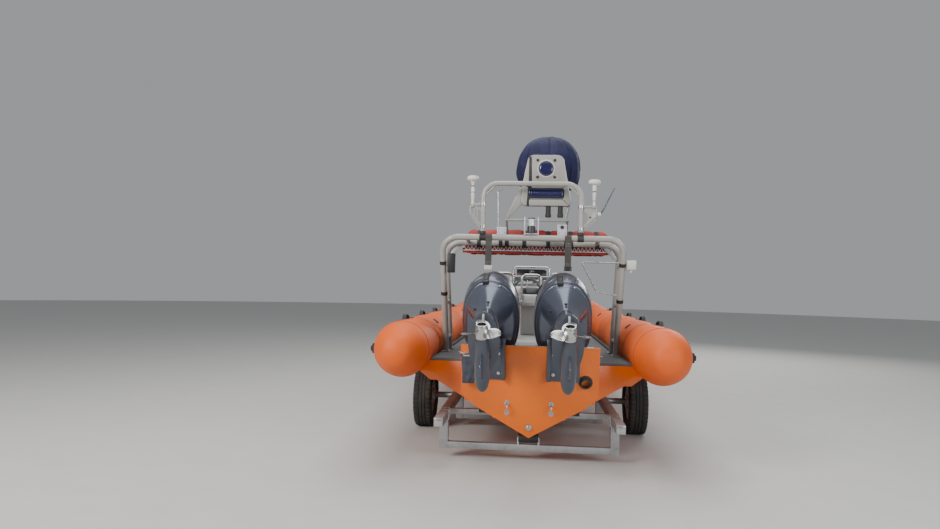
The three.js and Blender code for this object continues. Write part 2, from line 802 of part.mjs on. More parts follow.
// Scanner tower: a tapered plate with a round lamp hole and a light slot, on two legs.
const towerLamp = { x: 123, z: 2807, r: 66 };
const towerSlot = { lowX: -40, highX: 290, lowZ: 2524, highZ: 2602 };

function addTower() {
  const { x, y, low, high, foot, thickness } = tower;
  const back = y + thickness;
  const outline = [
    [x - 262, low],
    [x + 240, low],
    [x + 205, low + 200],
    [x + 150, high],
    [x - 190, high],
    [x - 250, low + 200],
  ];
  const sideSlot = [[x - 200, low + 200], [x - 172, low + 200], [x - 160, high - 60], [x - 168, high - 60]];
  const { lowX, highX, lowZ, highZ } = towerSlot;
  const plate = cut(
    plateAlongY(easeCorners(outline, 62), y, back),
    rod([towerLamp.x, y - 60, towerLamp.z], [towerLamp.x, back + 60, towerLamp.z], towerLamp.r + seatGap, 32),
    block([lowX, y - 10, lowZ], [highX, back + 10, highZ]),
    plateAlongY(sideSlot, y - 10, back + 10),
  );
  const flange = cut(
    rod([towerLamp.x, y - 10, towerLamp.z], [towerLamp.x, y + 5, towerLamp.z], 104, 24),
    rod([towerLamp.x, y - 60, towerLamp.z], [towerLamp.x, y + 60, towerLamp.z], towerLamp.r + seatGap, 8 * 4),
  );
  const legTop = low + 20;
  const legs = [
    rod([x - 240, y + 25, legTop], [x - 400, y + 25, foot], 13, 8),
    rod([x + 215, y + 25, legTop], [x + 180, y + 25, foot], 13, 8),
  ];
  const crossBar = rod([x - 415, y + 25, foot], [x + 215, y + 25, foot], 12, 8);
  const mastTies = [-60, 300].map((tx) => rod(
    [tx, y + 5, mast.topZ],
    [tx, aftHoopY + mastTubeR + seatGap, mast.topZ],
    14,
    8,
  ));
  const stays = [-395, 200].flatMap((dx) => [
    rod([x + dx, y + 25, foot], [x + dx, forwardHoop.y + 15, 2150], 12, 8),
    rod([x + dx, forwardHoop.y + 15, 2160], [x + dx, forwardHoop.y + 2, 2085], 12, 8),
  ]);
  const shelf = block([x - 120, back - 5, cover.low - 40], [x + 150, cover.y + 140, cover.low - 16]);
  const webs = [-100, 115].map((dx) => plateAlongX([
    [back - 5, cover.low - 170],
    [back + 30, cover.low - 170],
    [cover.y, cover.low - 30],
    [back - 5, cover.low - 30],
  ], x + dx, x + dx + 14));
  const pedestal = rod([cover.x, cover.y, cover.low - 20], [cover.x, cover.y, cover.low - seatGap], 120, 20);
  const bow = bentTube(
    hoopCorners(forwardHoop.y, forwardHoop.topZ), frameTubeR + seatGap, hoop.bend, [0, 1, 0],
  );
  const parts = [plate, flange, ...legs, crossBar, ...mastTies, ...stays, shelf, ...webs, pedestal];
  addMesh('scanner_tower', cut(join(...parts), bow), colours.lightGrey, { roughness: 0.4 });
}

function addLamps() {
  const { y, thickness } = tower;
  const lens = turned([
    [0, -4], [40, -2], [towerLamp.r - 4, 4], [towerLamp.r, 14], [towerLamp.r, 60], [0, 60],
  ], 24);
  addMesh('tower_lamp', lens.translate(towerLamp.x, y, towerLamp.z), colours.blue, { roughness: 0.15 });
  const bar = block(
    [towerSlot.lowX + seatGap, y + 8, towerSlot.lowZ + seatGap],
    [towerSlot.highX - seatGap, y + thickness - 5, towerSlot.highZ - seatGap],
  );
  addMesh('light_bar', bar, colours.blue, { roughness: 0.15 });
}

// Covered scanner: a rounded form, wider than it is high.
function addScannerCover() {
  const height = cover.high - cover.low;
  const table = [
    [0, 0], [0.72, 0], [0.84, 0.04], [0.94, 0.14], [0.99, 0.26], [1, 0.38], [0.975, 0.52], [0.91, 0.66],
    [0.79, 0.79], [0.62, 0.89], [0.4, 0.96], [0.2, 0.99], [0, 1],
  ];
  const profile = table.map(([share, along]) => [cover.radius * share, cover.low + height * along]);
  const dome = turned(profile, 32).rotateX(Math.PI / 2).translate(cover.x, cover.y, 0);
  addMesh('scanner_cover', dome, colours.navy, { roughness: 0.7 });
}

// Small boxes and the thin side stay on the hoop's legs.
function legPoint(sign, z, y = aftHoopY) {
  const share = (z - hoop.footZ) / (hoop.topZ - hoop.footZ);
  return [sign * (hoop.halfWidth - 26 * (1 - share)), y + hoop.rake * (1 - share), z];
}

function legFittings() {
  const [px, py, pz] = legPoint(-1, 1860);
  const box = block([px + 46, py - 40, pz - 95], [px + 117, py + 40, pz + 95]);
  const boxTab = block([px, py - 12, pz - 20], [px + 52, py + 12, pz + 20]);
  const [sx, sy, sz] = legPoint(1, 1870);
  const lamp = block([sx + 38, sy - 45, sz - 46], [sx + 125, sy + 45, sz + 46]);
  const lampTab = block([sx, sy - 12, sz - 16], [sx + 45, sy + 12, sz + 16]);
  const [, ly, lz] = legPoint(1, sz - 300);
  const stay = [
    rod([sx, sy, sz + 20], [sx - 390, sy, sz + 20], 7, 6),
    rod([sx - 385, sy, sz + 20], [sx - 240, sy + 60, sz - 260], 7, 6),
    rod([sx - 240, sy + 60, sz - 260], [sx - 8, ly, lz], 7, 6),
  ];
  return [box, boxTab, lamp, lampTab, ...stay];
}

// Engine outlines seen from above, as (share of half width, share of length) from the
// rear to the front: a round arch for the cowl, an apron that narrows to the front under
// it, and a slim one for the leg.
const archOutline = [[0, 1], [0.42, 0.955], [0.75, 0.83], [0.93, 0.66], [1, 0.44], [0.97, 0.2], [0.82, 0.03], [0.45, 0]];
const apronOutline = [[0, 1], [0.45, 0.93], [0.8, 0.78], [0.97, 0.6], [1, 0.45], [0.9, 0.25], [0.62, 0.08], [0.3, 0]];
const strutOutline = [[0, 1], [0.3, 0.92], [0.62, 0.78], [0.88, 0.6], [1, 0.38], [0.93, 0.14], [0.7, 0.02], [0.35, 0]];

function engineRing(upward, front, rear, half, outline = archOutline) {
  const length = rear - front;
  const points = outline.map(([x, a]) => [half * x, front + length * a]);
  const right = points;
  const left = points.slice(1).map(([x, a]) => [-x, a]).reverse();
  return [...right, ...left].map(([x, a]) => [x, -a, upward]);
}

const cowlSections = [
  // up, front, rear, half width
  [200.5, -168, 500, 250],
  [232, -176, 508, 262],
  [340, -178, 508, 264],
  [480, -158, 482, 254],
  [600, -125, 440, 230],
  [680, -70, 385, 186],
  [715, 0, 320, 122],
];
const legSections = [
  // up, front, rear, half width, outline
  [200, -164, 496, 246],
  [160, -152, 491, 236],
  [126, -116, 482, 214],
  [110, 100, 477, 196, apronOutline],
  [60, 100, 463, 172, apronOutline],
  [0, 100, 446, 146, apronOutline],
  [-80, 100, 424, 116, apronOutline],
  [-180, 100, 402, 92, apronOutline],
  [-320, 102, 386, 78, strutOutline],
  [-600, 114, 372, 66, strutOutline],
];
const pivot = { top: 110 - runGap, low: -360, r: 44 };

function cowlBase() {
  const body = loft(legSections.map((row) => engineRing(...row)));
  const lug = block([-42, -150, pivot.low - 45], [42, 15, pivot.low - runGap]);
  const pinCap = rod([0, -steerAxisAft, 104], [0, -steerAxisAft, 112], 50, 16);
  return cut(join(body, lug, pinCap), rod(
    [0, -steerAxisAft, pivot.low - runGap], [0, -steerAxisAft, pivot.top + runGap], pivot.r + 6, 20,
  ));
}

function gearcase() {
  const shoulder = -600 - seatGap;
  const strut = loft([
    [shoulder, 112, 372, 66],
    [-700, 110, 385, 50],
    [-800, 70, 400, 40],
  ].map((row) => engineRing(...row, strutOutline)));
  const plateTop = -630;
  const plate = loft([plateTop, plateTop - 13].map((upward) => engineRing(upward, 60, 575, 126)));
  const bullet = turned([
    [0, -20], [26, -8], [46, 30], [58, 90], [60, 260], [54, 400],
    [50, propellerShaft.aft], [0, propellerShaft.aft],
  ], 20).rotateX(Math.PI).translate(0, 0, propellerShaft.up);
  const skeg = plateAlongX([
    [-110, -850], [-350, -850], [-330, -900], [-300, -1015], [-235, -1020], [-150, -930],
  ], -8, 8);
  return join(strut, plate, bullet, skeg);
}

function propeller(hand) {
  const start = propellerShaft.aft + runGap;
  const hub = turned([[0, start], [50, start], [48, start + 80], [36, start + 112], [0, start + 112]], 18);
  const outline = new THREE.Shape();
  outline.moveTo(-22, 30);
  outline.quadraticCurveTo(-98, 96, -52, 156);
  outline.quadraticCurveTo(-4, 180, 40, 150);
  outline.quadraticCurveTo(84, 96, 26, 30);
  outline.closePath();
  const blade = new THREE.ExtrudeGeometry(outline, { depth: 9, bevelEnabled: false, curveSegments: 5 });
  blade.translate(0, 0, -4.5).rotateY(hand * THREE.MathUtils.degToRad(58));
  const blades = [0, 120, 240].map((degrees) => blade.clone()
    .rotateZ(THREE.MathUtils.degToRad(degrees))
    .rotateX(Math.PI / 2)
    .translate(0, start + 52, 0));
  return join(hub, ...blades).rotateX(Math.PI).translate(0, 0, propellerShaft.up);
}

function swivelBracket() {
  const post = rod([0, -steerAxisAft, pivot.low], [0, -steerAxisAft, pivot.top], pivot.r, 20);
  const tiltTube = rod([-110 + runGap, 0, 0], [110 - runGap, 0, 0], 26, 16);
  const web = block([-30, -40, -300], [30, 18, 10]);
  const steeringRam = rod([-98, 34, 26], [98, 34, 26], 12, 10);
  const ramArms = [-80, 80].map((x) => block([x - 10, -8, -8], [x + 10, 40, 32]));
  return join(post, tiltTube, web, steeringRam, ...ramArms);
}

// The clamp bracket is bolted to the transom's raked face.
function transomFaceY(z) {
  const share = (z - 180) / (transomTop - 180);
  return transomAft.low + 12 + (transomAft.high - transomAft.low - 12) * share;
}

function clampBracket() {
  const high = transomTop - 12;
  const low = 800;
  const face = (z) => transomFaceY(z) - seatGap;
  const cheekOutline = [
    [face(low), low],
    [face(high), high],
    [face(transomTop) - 1, transomTop + 1],
    [tiltAxis.y + 45, tiltAxis.z + 38],
    [tiltAxis.y - 28, tiltAxis.z + 30],
    [tiltAxis.y - 40, tiltAxis.z - 20],
    [face(low) - 70, low + 60],
    [face(low) - 60, low],
  ];
  const cheeks = [[-146, -110], [110, 146]].map(([lowX, highX]) => plateAlongX(cheekOutline, lowX, highX));
  const back = plateAlongX([
    [face(low), low],
    [face(high), high],
    [face(high) - 12, high],
    [face(low) - 12, low],
  ], -112, 112);
  return join(...cheeks, back);
}

function addEngines() {
  const tilt = THREE.MathUtils.degToRad(-restTiltDegrees);
  for (const [side, sign] of [['port', -1], ['starboard', 1]]) {
    const engine = new THREE.Group();
    engine.position.set(engineX[side], tiltAxis.y, tiltAxis.z);
    engine.rotation.x = tilt;
    lifeboat.add(engine);
    const cowl = loft(cowlSections.map((row) => engineRing(...row)));
    addMesh(`engine_cowl_${side}`, cowl, colours.engine, metal, engine);
    addMesh(`engine_leg_${side}`, cowlBase(), colours.engine, metal, engine);
    addMesh(`gearcase_${side}`, gearcase(), colours.engine, metal, engine);
    addMesh(`propeller_${side}`, propeller(sign), colours.steel, metal, engine);
    addMesh(`swivel_bracket_${side}`, swivelBracket(), colours.engine, metal, engine);
    addMesh(`clamp_bracket_${side}`, clampBracket().translate(engineX[side], 0, 0), colours.engine, metal);
  }
}

// Launching trolley: two rails, low cross beams under the keel, axle stubs and a drawbar.
const crossBeams = [300, axleY, 4850];
const bunks = [
  // y, x
  [450, 400],
  [axleY + 180, 420],
  [4500, 420],
];

function trolleyFrame() {
  const { x, z, size, aftY, frontY } = rail;
  const half = size / 2;
  const pieces = [];
  for (const sign of [-1, 1]) {
    pieces.push(block([sign * x - half, aftY, z - half], [sign * x + half, frontY, z + half]));
    pieces.push(squareBar([sign * x, frontY - 20, z], [0, drawbar.joinY, z], 70));
    const stubEnd = wheel.x - wheel.width / 2 - runGap;
    pieces.push(rod([sign * (x + half - 5), axleY, wheel.r], [sign * stubEnd, axleY, wheel.r], 34, 16));
  }
  pieces.push(block([-45, drawbar.joinY - 260, z - 45], [45, drawbar.tipY - 120, z + 45]));
  pieces.push(block([-60, drawbar.tipY - 140, z - 12], [60, drawbar.tipY, z + 12]));
  for (const y of crossBeams) {
    const { z: beamZ, size: beamSize } = dropBeam;
    const b = beamSize / 2;
    pieces.push(block([-x - half, y - b, beamZ - b], [x + half, y + b, beamZ + b]));
    for (const sign of [-1, 1]) {
      pieces.push(block([sign * x - half, y - half, beamZ - b], [sign * x + half, y + half, z + half]));
    }
    pieces.push(...keelRoller(y, beamZ + b));
  }
  for (const [y, bx] of bunks) {
    for (const sign of [-1, 1]) {
      pieces.push(block(
        [Math.min(sign * (bx - 60), sign * x), y - 30, z - 25],
        [Math.max(sign * (bx - 60), sign * x), y + 30, z + 25],
      ));
      pieces.push(bunkPad(sign, y, bx));
    }
  }
  pieces.push(...bowSnubber());
  pieces.push(rod([0, jockey.y, z - 110], [0, jockey.y, z + 330], 30, 16));
  pieces.push(rod([0, jockey.y, z + 315], [0, jockey.y - 120, z + 315], 8, 8));
  return join(...pieces);
}

// A square bar from one point to another, upright on its long faces.
function squareBar(from, to, size) {
  const h = size / 2;
  return sweep([[-h, -h], [h, -h], [h, h], [-h, h]], [from, to], up);
}

function keelRoller(y, beamTop) {
  const keel = keelAt(y);
  const r = 42;
  const z = keel - seatGap - r;
  const rollerSolid = rod([-95, y, z], [95, y, z], r, 20);
  const ears = [-1, 1].map((s) => block([s * 95 - 8, y - 28, beamTop - 5], [s * 95 + 8, y + 28, z + 12]));
  return [rollerSolid, ...ears];
}

function keelAt(y) {
  const next = hullSections.findIndex(([sectionY]) => sectionY >= y);
  const [lowY, lowKeel] = hullSections[Math.max(next - 1, 0)];
  const [highY, highKeel] = hullSections[Math.max(next, 1)];
  return lowKeel + ((highKeel - lowKeel) * (y - lowY)) / (highY - lowY);
}

// Long bunk pads follow the bottom, a hair below it.
function bunkPad(sign, y, x) {
  const half = 75;
  const length = 260;
  const [chineX, chineZ] = sectionChine(y - length);
  const bottom = (px) => keelAt(y - length) + ((chineZ - keelAt(y - length)) * px) / chineX;
  const top = [[x - half, bottom(x - half)], [x + half, bottom(x + half)]];
  const drop = seatGap + 1.2;
  const outline = [
    [sign * (x - half), top[0][1] - drop],
    [sign * (x + half), top[1][1] - drop],
    [sign * (x + half), rail.z + 15],
    [sign * (x - half), rail.z + 15],
  ];
  return plateAlongY(outline, y - length / 2, y + length / 2);
}

function sectionChine(y) {
  const next = Math.max(hullSections.findIndex(([sectionY]) => sectionY >= y), 1);
  const low = hullSections[next - 1];
  const high = hullSections[next];
  const share = (y - low[0]) / (high[0] - low[0]);
  return [2, 3].map((k) => low[k] + (high[k] - low[k]) * share);
}

function bowSnubber() {
  const y = 7620;
  const z = rail.z;
  const post = block([-40, y - 40, z], [40, y + 40, 1040]);
  const arm = block([-35, 7262, 940], [35, y + 10, 1010]);
  const pad = block([-80, 7240, 925], [80, 7285, 1030]);
  return [post, arm, pad];
}

function addTrolley() {
  addMesh('trolley_frame', trolleyFrame(), colours.zinc, metal);
  const winch = join(
    block([-70, 7575, 1040 + seatGap], [70, 7665, 1110]),
    rod([-75, 7620, 1100], [75, 7620, 1100], 42, 18),
    rod([74, 7620, 1100], [110, 7620, 1100], 9, 8),
    block([104, 7540, 1090], [114, 7632, 1112]),
    rod([109, 7552, 1100], [180, 7552, 1100], 12, 10),
  );
  addMesh('winch', winch, colours.steel, metal);

  for (const [side, sign] of [['port', -1], ['starboard', 1]]) {
    const half = wheel.width / 2;
    const tyre = new THREE.LatheGeometry([
      [wheel.rimR, -half + 25], [wheel.r - 70, -half], [wheel.r - 22, -half + 8], [wheel.r, -half + 40],
      [wheel.r, half - 40], [wheel.r - 22, half - 8], [wheel.r - 70, half], [wheel.rimR, half - 25],
      [wheel.rimR, -half + 25],
    ].map(([r, a]) => new THREE.Vector2(r, a)), 28);
    const rim = turned([
      [0, -half], [70, -half], [70, -half + 30], [wheel.rimR - 30, -half + 60],
      [wheel.rimR - seatGap, -half + 26], [wheel.rimR - seatGap, half - 26],
      [wheel.rimR - 30, half - 40], [60, half - 60], [60, half - 20], [0, half - 20],
    ], 28);
    for (const [name, geometry, colour] of [['tyre', tyre, colours.tyre], ['wheel_rim', rim, colours.zinc]]) {
      geometry.rotateZ(sign > 0 ? -Math.PI / 2 : Math.PI / 2);
      geometry.translate(sign * wheel.x, axleY, wheel.r);
      addMesh(`${name}_${side}`, geometry, colour);
    }
  }

  const forkTop = rail.z - 110 - runGap;
  const forkLow = jockey.r;
  const inner = jockey.width / 2 + runGap;
  const wy = jockey.y + jockey.trail;
  const cheek = (sign) => plateAlongX([
    [jockey.y - 35, forkTop],
    [jockey.y - 35, forkTop - 16],
    [wy - 22, forkLow - 20],
    [wy + 22, forkLow - 20],
    [jockey.y + 60, forkTop - 16],
    [jockey.y + 60, forkTop],
  ], ...(sign > 0 ? [inner, inner + 8] : [-inner - 8, -inner]));
  const crown = block([-inner - 8, jockey.y - 35, forkTop - 14], [inner + 8, jockey.y + 60, forkTop]);
  addMesh('jockey_fork', join(crown, cheek(1), cheek(-1)), colours.zinc, metal);
  const small = turned([
    [0, -35], [jockey.r - 12, -35], [jockey.r, -24], [jockey.r, 24], [jockey.r - 12, 35], [0, 35],
  ], 28);
  addMesh('jockey_wheel', small.rotateZ(Math.PI / 2).translate(0, wy, jockey.r), colours.tyre);
}

addHull();
addDeck();
addCollar();
addConsole();
addHelmWheel();
addSeats();
addLocker();
addBowPost();
addRollFrame();
addMastHoop();
addAerials();
addRightingBag();
addStraps();
addSternLight();
addTower();
addLamps();
addScannerCover();
addEngines();
addTrolley();

// The middle of the overall length goes to Y = 0.
lifeboat.updateMatrixWorld(true);
const overall = new THREE.Box3().setFromObject(lifeboat, true);
lifeboat.position.y = -(overall.min.y + overall.max.y) / 2;

export default lifeboat;
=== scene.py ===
# %% [markdown]
# # A rigid inflatable lifeboat on its trolley
# The real boat is an orange glass-fibre hull with an inflatable collar, two outboard
# engines tilted up at the stern, and a frame of grey tube over them that carries a
# righting bag, lamps, aerials and a covered scanner. The measured solids come from the
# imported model. This script dresses them: smooth skins over the faceted solids, small
# fittings, fabric, and a finish for every surface.

import math

import bmesh
import bpy
from mathutils import Matrix, Vector, geometry, noise


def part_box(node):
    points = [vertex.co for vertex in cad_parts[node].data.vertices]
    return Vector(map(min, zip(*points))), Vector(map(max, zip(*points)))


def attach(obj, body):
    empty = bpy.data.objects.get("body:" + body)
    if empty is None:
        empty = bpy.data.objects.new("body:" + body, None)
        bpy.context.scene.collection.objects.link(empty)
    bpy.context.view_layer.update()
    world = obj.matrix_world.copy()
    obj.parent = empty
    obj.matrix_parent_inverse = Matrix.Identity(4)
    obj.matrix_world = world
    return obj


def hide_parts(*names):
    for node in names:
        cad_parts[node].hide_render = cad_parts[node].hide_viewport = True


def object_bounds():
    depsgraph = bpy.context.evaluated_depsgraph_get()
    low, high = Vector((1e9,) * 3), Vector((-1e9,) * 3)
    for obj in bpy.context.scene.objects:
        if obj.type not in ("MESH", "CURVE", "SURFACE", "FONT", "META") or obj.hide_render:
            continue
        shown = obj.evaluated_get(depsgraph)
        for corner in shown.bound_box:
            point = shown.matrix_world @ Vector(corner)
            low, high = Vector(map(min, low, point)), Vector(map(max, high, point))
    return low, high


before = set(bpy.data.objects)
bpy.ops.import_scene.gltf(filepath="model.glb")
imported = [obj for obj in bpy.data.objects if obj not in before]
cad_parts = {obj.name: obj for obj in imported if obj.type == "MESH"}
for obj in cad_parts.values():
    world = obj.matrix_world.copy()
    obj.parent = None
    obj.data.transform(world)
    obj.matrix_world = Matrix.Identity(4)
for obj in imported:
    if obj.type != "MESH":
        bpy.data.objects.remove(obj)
cad_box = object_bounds()
print("solids", len(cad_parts), "box", [round(c, 3) for corner in cad_box for c in corner])

# %% [markdown]
# All sizes below are in metres from the transom, as a boat builder gives them. The packed
# model has its origin in the middle of the overall length instead. The hull ends 7.48 m
# ahead of the transom, so one measured box gives the shift between the two.

# %% Stern line
hull_length = 7.48
stern_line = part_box("hull")[1][1] - hull_length
hull_body = "boat_on_trolley"


def at(x, y, z):
    return Vector((x, y + stern_line, z))


print("transom at y", round(stern_line, 4))

# %% [markdown]
# The picture is taken from dead astern at eye height, with a wide lens a little over six
# metres from the frame. The camera looks a few degrees to port of the boat's axis, a touch
# upwards, and leans slightly. It is set first, because everything is judged through it.

# %% Camera
eye_height, stand_off = 1.65, 6.17
yaw, pitch, roll = [math.radians(d) for d in (5.2, 1.7, 1.3)]
lens = bpy.data.cameras.new("stern_view")
lens.lens, lens.sensor_width = 26.0, 36.0
camera = bpy.data.objects.new("stern_view", lens)
bpy.context.collection.objects.link(camera)
bpy.context.scene.camera = camera
camera.matrix_world = (
    Matrix.Translation(at(0, -stand_off, eye_height))
    @ Matrix.Rotation(yaw, 4, "Z")
    @ Matrix.Rotation(math.pi / 2 + pitch, 4, "X")
    @ Matrix.Rotation(roll, 4, "Z")
)
print("camera", [round(c, 3) for c in camera.matrix_world.translation])

# %% [markdown]
# A bmesh is a workbench for one mesh. Each helper makes one simple shape on a bench of its
# own, moves it into place and pours it into the piece that is being built, so a piece can
# be a dozen shapes and still be a single object.

# %% Workbench
ACROSS, AHEAD, AFT, UP = (1, 0, 0), (0, 1, 0), (0, -1, 0), (0, 0, 1)
SIDES = (("port", -1), ("starboard", 1))


def benches(count):
    return [bmesh.new() for _ in range(count)]


def pour(bench, shape, matrix=None):
    if matrix is not None:
        bmesh.ops.transform(shape, matrix=matrix, verts=shape.verts)
    scratch = bpy.data.meshes.new("scratch")
    shape.to_mesh(scratch)
    shape.free()
    bench.from_mesh(scratch)
    bpy.data.meshes.remove(scratch)


def soften(shape, width, segments=2, sharper_than=30):
    limit = math.radians(sharper_than)
    edges = [e for e in shape.edges if e.is_manifold and e.calc_face_angle(0.0) > limit]
    if edges:
        bmesh.ops.bevel(shape, geom=edges, offset=width, segments=segments, affect="EDGES",
                        profile=0.5, material=-1, clamp_overlap=True)


def block(bench, low, high, edge=0.004, segments=2, matrix=None):
    shape = bmesh.new()
    bmesh.ops.create_cube(shape, size=1.0)
    size = [abs(h - l) for l, h in zip(low, high)]
    middle = [(h + l) / 2 for l, h in zip(low, high)]
    place = Matrix.Translation(middle) @ Matrix.Diagonal((*size, 1))
    bmesh.ops.transform(shape, verts=shape.verts, matrix=place)
    soften(shape, min(edge, 0.45 * min(size)), segments)
    pour(bench, shape, matrix)


def block_by(bench, place, low, high, *looks):
    block(bench, place + Vector(low), place + Vector(high), *looks)


def stand(shape, foot, axis):
    turn = Vector(axis).to_track_quat("Z", "Y").to_matrix().to_4x4()
    bmesh.ops.transform(shape, verts=shape.verts, matrix=Matrix.Translation(foot) @ turn)


def rod(bench, start, end, radius, end_radius=None, sides=20, edge=0.0, matrix=None):
    start, end = Vector(start), Vector(end)
    shape = bmesh.new()
    bmesh.ops.create_cone(shape, cap_ends=True, segments=sides, radius1=radius,
                          radius2=end_radius or radius, depth=(end - start).length)
    if edge:
        soften(shape, edge, 2, 50)
    stand(shape, (start + end) / 2, end - start)
    pour(bench, shape, matrix)


def spun(profile, steps):
    shape = bmesh.new()
    corners = [shape.verts.new((r, 0, h)) for r, h in profile]
    edges = [shape.edges.new(pair) for pair in zip(corners, corners[1:])]
    bmesh.ops.spin(shape, geom=corners + edges, cent=(0, 0, 0), axis=UP, angle=math.tau,
                   steps=steps, use_merge=True)
    bmesh.ops.remove_doubles(shape, verts=shape.verts, dist=1e-5)
    bmesh.ops.recalc_face_normals(shape, faces=shape.faces)
    return shape


def turned(bench, profile, centre, axis=UP, sides=32, matrix=None):
    shape = spun(profile, sides)
    stand(shape, centre, axis)
    pour(bench, shape, matrix)


def plate(bench, outline, depth, matrix=None, edge=0.002):
    shape = bmesh.new()
    face = shape.faces.new([shape.verts.new((a, b, 0)) for a, b in outline])
    made = bmesh.ops.extrude_face_region(shape, geom=[face])
    moved = [v for v in made["geom"] if isinstance(v, bmesh.types.BMVert)]
    bmesh.ops.translate(shape, verts=moved, vec=(0, 0, depth))
    bmesh.ops.recalc_face_normals(shape, faces=shape.faces)
    soften(shape, edge, 2)
    pour(bench, shape, matrix)


print("workbench ready")

# %% [markdown]
# Sections and outlines are short lists of points. These helpers write the ones that come
# back again and again: a flat strip, an oblong, a low disc, a section and its mirror image,
# a clamp that goes round a tube, and an outline whose corners are traded for short arcs.
# Outlines are drawn flat, so two more helpers stand them up to face aft or sideways.


# %% Sections and outlines
def polar(radius, angle):
    return radius * math.cos(angle), radius * math.sin(angle)


def turns(count, first=0):
    return [math.radians(first + 360 * k / count) for k in range(count)]


def full_turn(parts):
    return turns(parts) + [math.tau]


def strip(across, along):
    return [(-across, -along), (across, -along), (across, along), (-across, along)]


def oblong(x, z, x2, z2):
    return [(x, z), (x2, z), (x2, z2), (x, z2)]


def disc(foot, rim, height, crown):
    return [(0, 0), (foot, 0), (rim, height), (0, crown)]


def there_and_back(section):
    return section + [(r, -h) for r, h in reversed(section)]


def clamp(bench, inner, outer, half, centre, axis=UP, sides=28, matrix=None):
    section = [(inner, -half), (outer, -half), (outer, half), (inner, half), (inner, -half)]
    turned(bench, section, centre, axis, sides, matrix)


def eased(points, radius, steps=6):
    result = []
    for i, corner in enumerate(points):
        corner = Vector((*corner, 0))
        legs = [Vector((*points[k], 0)) - corner for k in (i - 1, (i + 1) % len(points))]
        start, end = [corner + leg.normalized() * min(radius, leg.length * 0.48) for leg in legs]
        for step in range(steps + 1):
            t = step / steps
            spot = start * (1 - t) ** 2 + corner * 2 * t * (1 - t) + end * t * t
            result.append((spot.x, spot.y))
    return result


def facing_aft(x, y, z):
    turn = Matrix(((1, 0, 0, 0), (0, 0, -1, 0), (0, 1, 0, 0), (0, 0, 0, 1)))
    return Matrix.Translation(at(x, y, z)) @ turn


def facing_side(x, y=0, z=0):
    turn = Matrix(((0, 0, 1, 0), (1, 0, 0, 0), (0, 1, 0, 0), (0, 0, 0, 1)))
    return Matrix.Translation(at(x, y, z)) @ turn


print("outlines ready")

# %% [markdown]
# Bent tube is everywhere on this boat. A ring of points is extruded station by station
# along a path, and each station keeps one side of the section upright, so a flat strake
# stays flat against its tube all the way round the bow. Corners are rounded with an arc,
# as a tube bender leaves them.


# %% Tubes along a path
def rounded(corners, bend, steps=8):
    points = [Vector(corners[0])]
    for before, corner, after in zip(corners, corners[1:], corners[2:]):
        corner = Vector(corner)
        back = (Vector(before) - corner).normalized()
        on = (Vector(after) - corner).normalized()
        half = back.angle(on) / 2
        centre = corner + (back + on).normalized() * (bend / math.sin(half))
        spoke, last = [corner + leg * (bend / math.tan(half)) - centre for leg in (back, on)]
        turn_axis = spoke.cross(last).normalized()
        for step in range(steps + 1):
            angle = spoke.angle(last) * step / steps
            points.append(centre + Matrix.Rotation(angle, 3, turn_axis) @ spoke)
    return points + [Vector(corners[-1])]


def stations(path, upright, scales):
    result = []
    for i, point in enumerate(path):
        before, after = path[max(i - 1, 0)], path[min(i + 1, len(path) - 1)]
        along = ((after - point).normalized() + (point - before).normalized()).normalized()
        side = Vector(upright).cross(along).normalized()
        spin = Matrix((side, along.cross(side), along)).transposed().to_4x4()
        scale = scales[i] if scales else 1.0
        result.append(Matrix.Translation(point) @ spin @ Matrix.Diagonal((scale, scale, 1, 1)))
    return result


def closed(shape, ring):
    return [shape.edges.new(pair) for pair in zip(ring, ring[1:] + ring[:1])]


def sweep(bench, outline, path, upright=UP, scales=None, matrix=None):
    places = stations([Vector(p) for p in path], upright, scales)
    shape = bmesh.new()
    ring = [shape.verts.new(places[0] @ Vector((x, y, 0))) for x, y in outline]
    edges = closed(shape, ring)
    shape.faces.new(ring)
    for here, there in zip(places, places[1:]):
        made = bmesh.ops.extrude_edge_only(shape, edges=edges)["geom"]
        fresh = {v for v in made if isinstance(v, bmesh.types.BMVert)}
        moved = [v for v in made if v in fresh]
        edges = [e for e in made if isinstance(e, bmesh.types.BMEdge) and fresh.issuperset(e.verts)]
        bmesh.ops.transform(shape, matrix=there @ here.inverted(), verts=moved)
    bmesh.ops.contextual_create(shape, geom=edges)
    bmesh.ops.recalc_face_normals(shape, faces=shape.faces)
    pour(bench, shape, matrix)


def ring_of(radius, sides=24):
    return [polar(radius, math.tau * (i + 0.5) / sides) for i in range(sides)]


def pipe(bench, corners, radius, bend=0.0, upright=UP, sides=20, matrix=None):
    path = rounded(corners, bend) if bend else corners
    sweep(bench, ring_of(radius, sides), path, upright, matrix=matrix)


print("tube bender ready")

# %% [markdown]
# A finished bench becomes an object that rides on one body of the model. Faces are shaded
# smooth except across edges sharper than a given angle. Where the new piece is a better
# skin for a solid, that solid is hidden.


# %% Finished pieces
def piece(bench, name, finish, body=hull_body, angle=38, instead_of="", place=None):
    if place is not None:
        bmesh.ops.transform(bench, matrix=place, verts=bench.verts)
    mesh = bpy.data.meshes.new(name)
    bench.to_mesh(mesh)
    bench.free()
    mesh.materials.append(finishes[finish])
    mesh.polygons.foreach_set("use_smooth", [True] * len(mesh.polygons))
    mesh.set_sharp_from_angle(angle=math.radians(angle))
    made = bpy.data.objects.new(name, mesh)
    bpy.context.collection.objects.link(made)
    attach(made, body)
    if instead_of:
        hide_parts(instead_of)
    return made


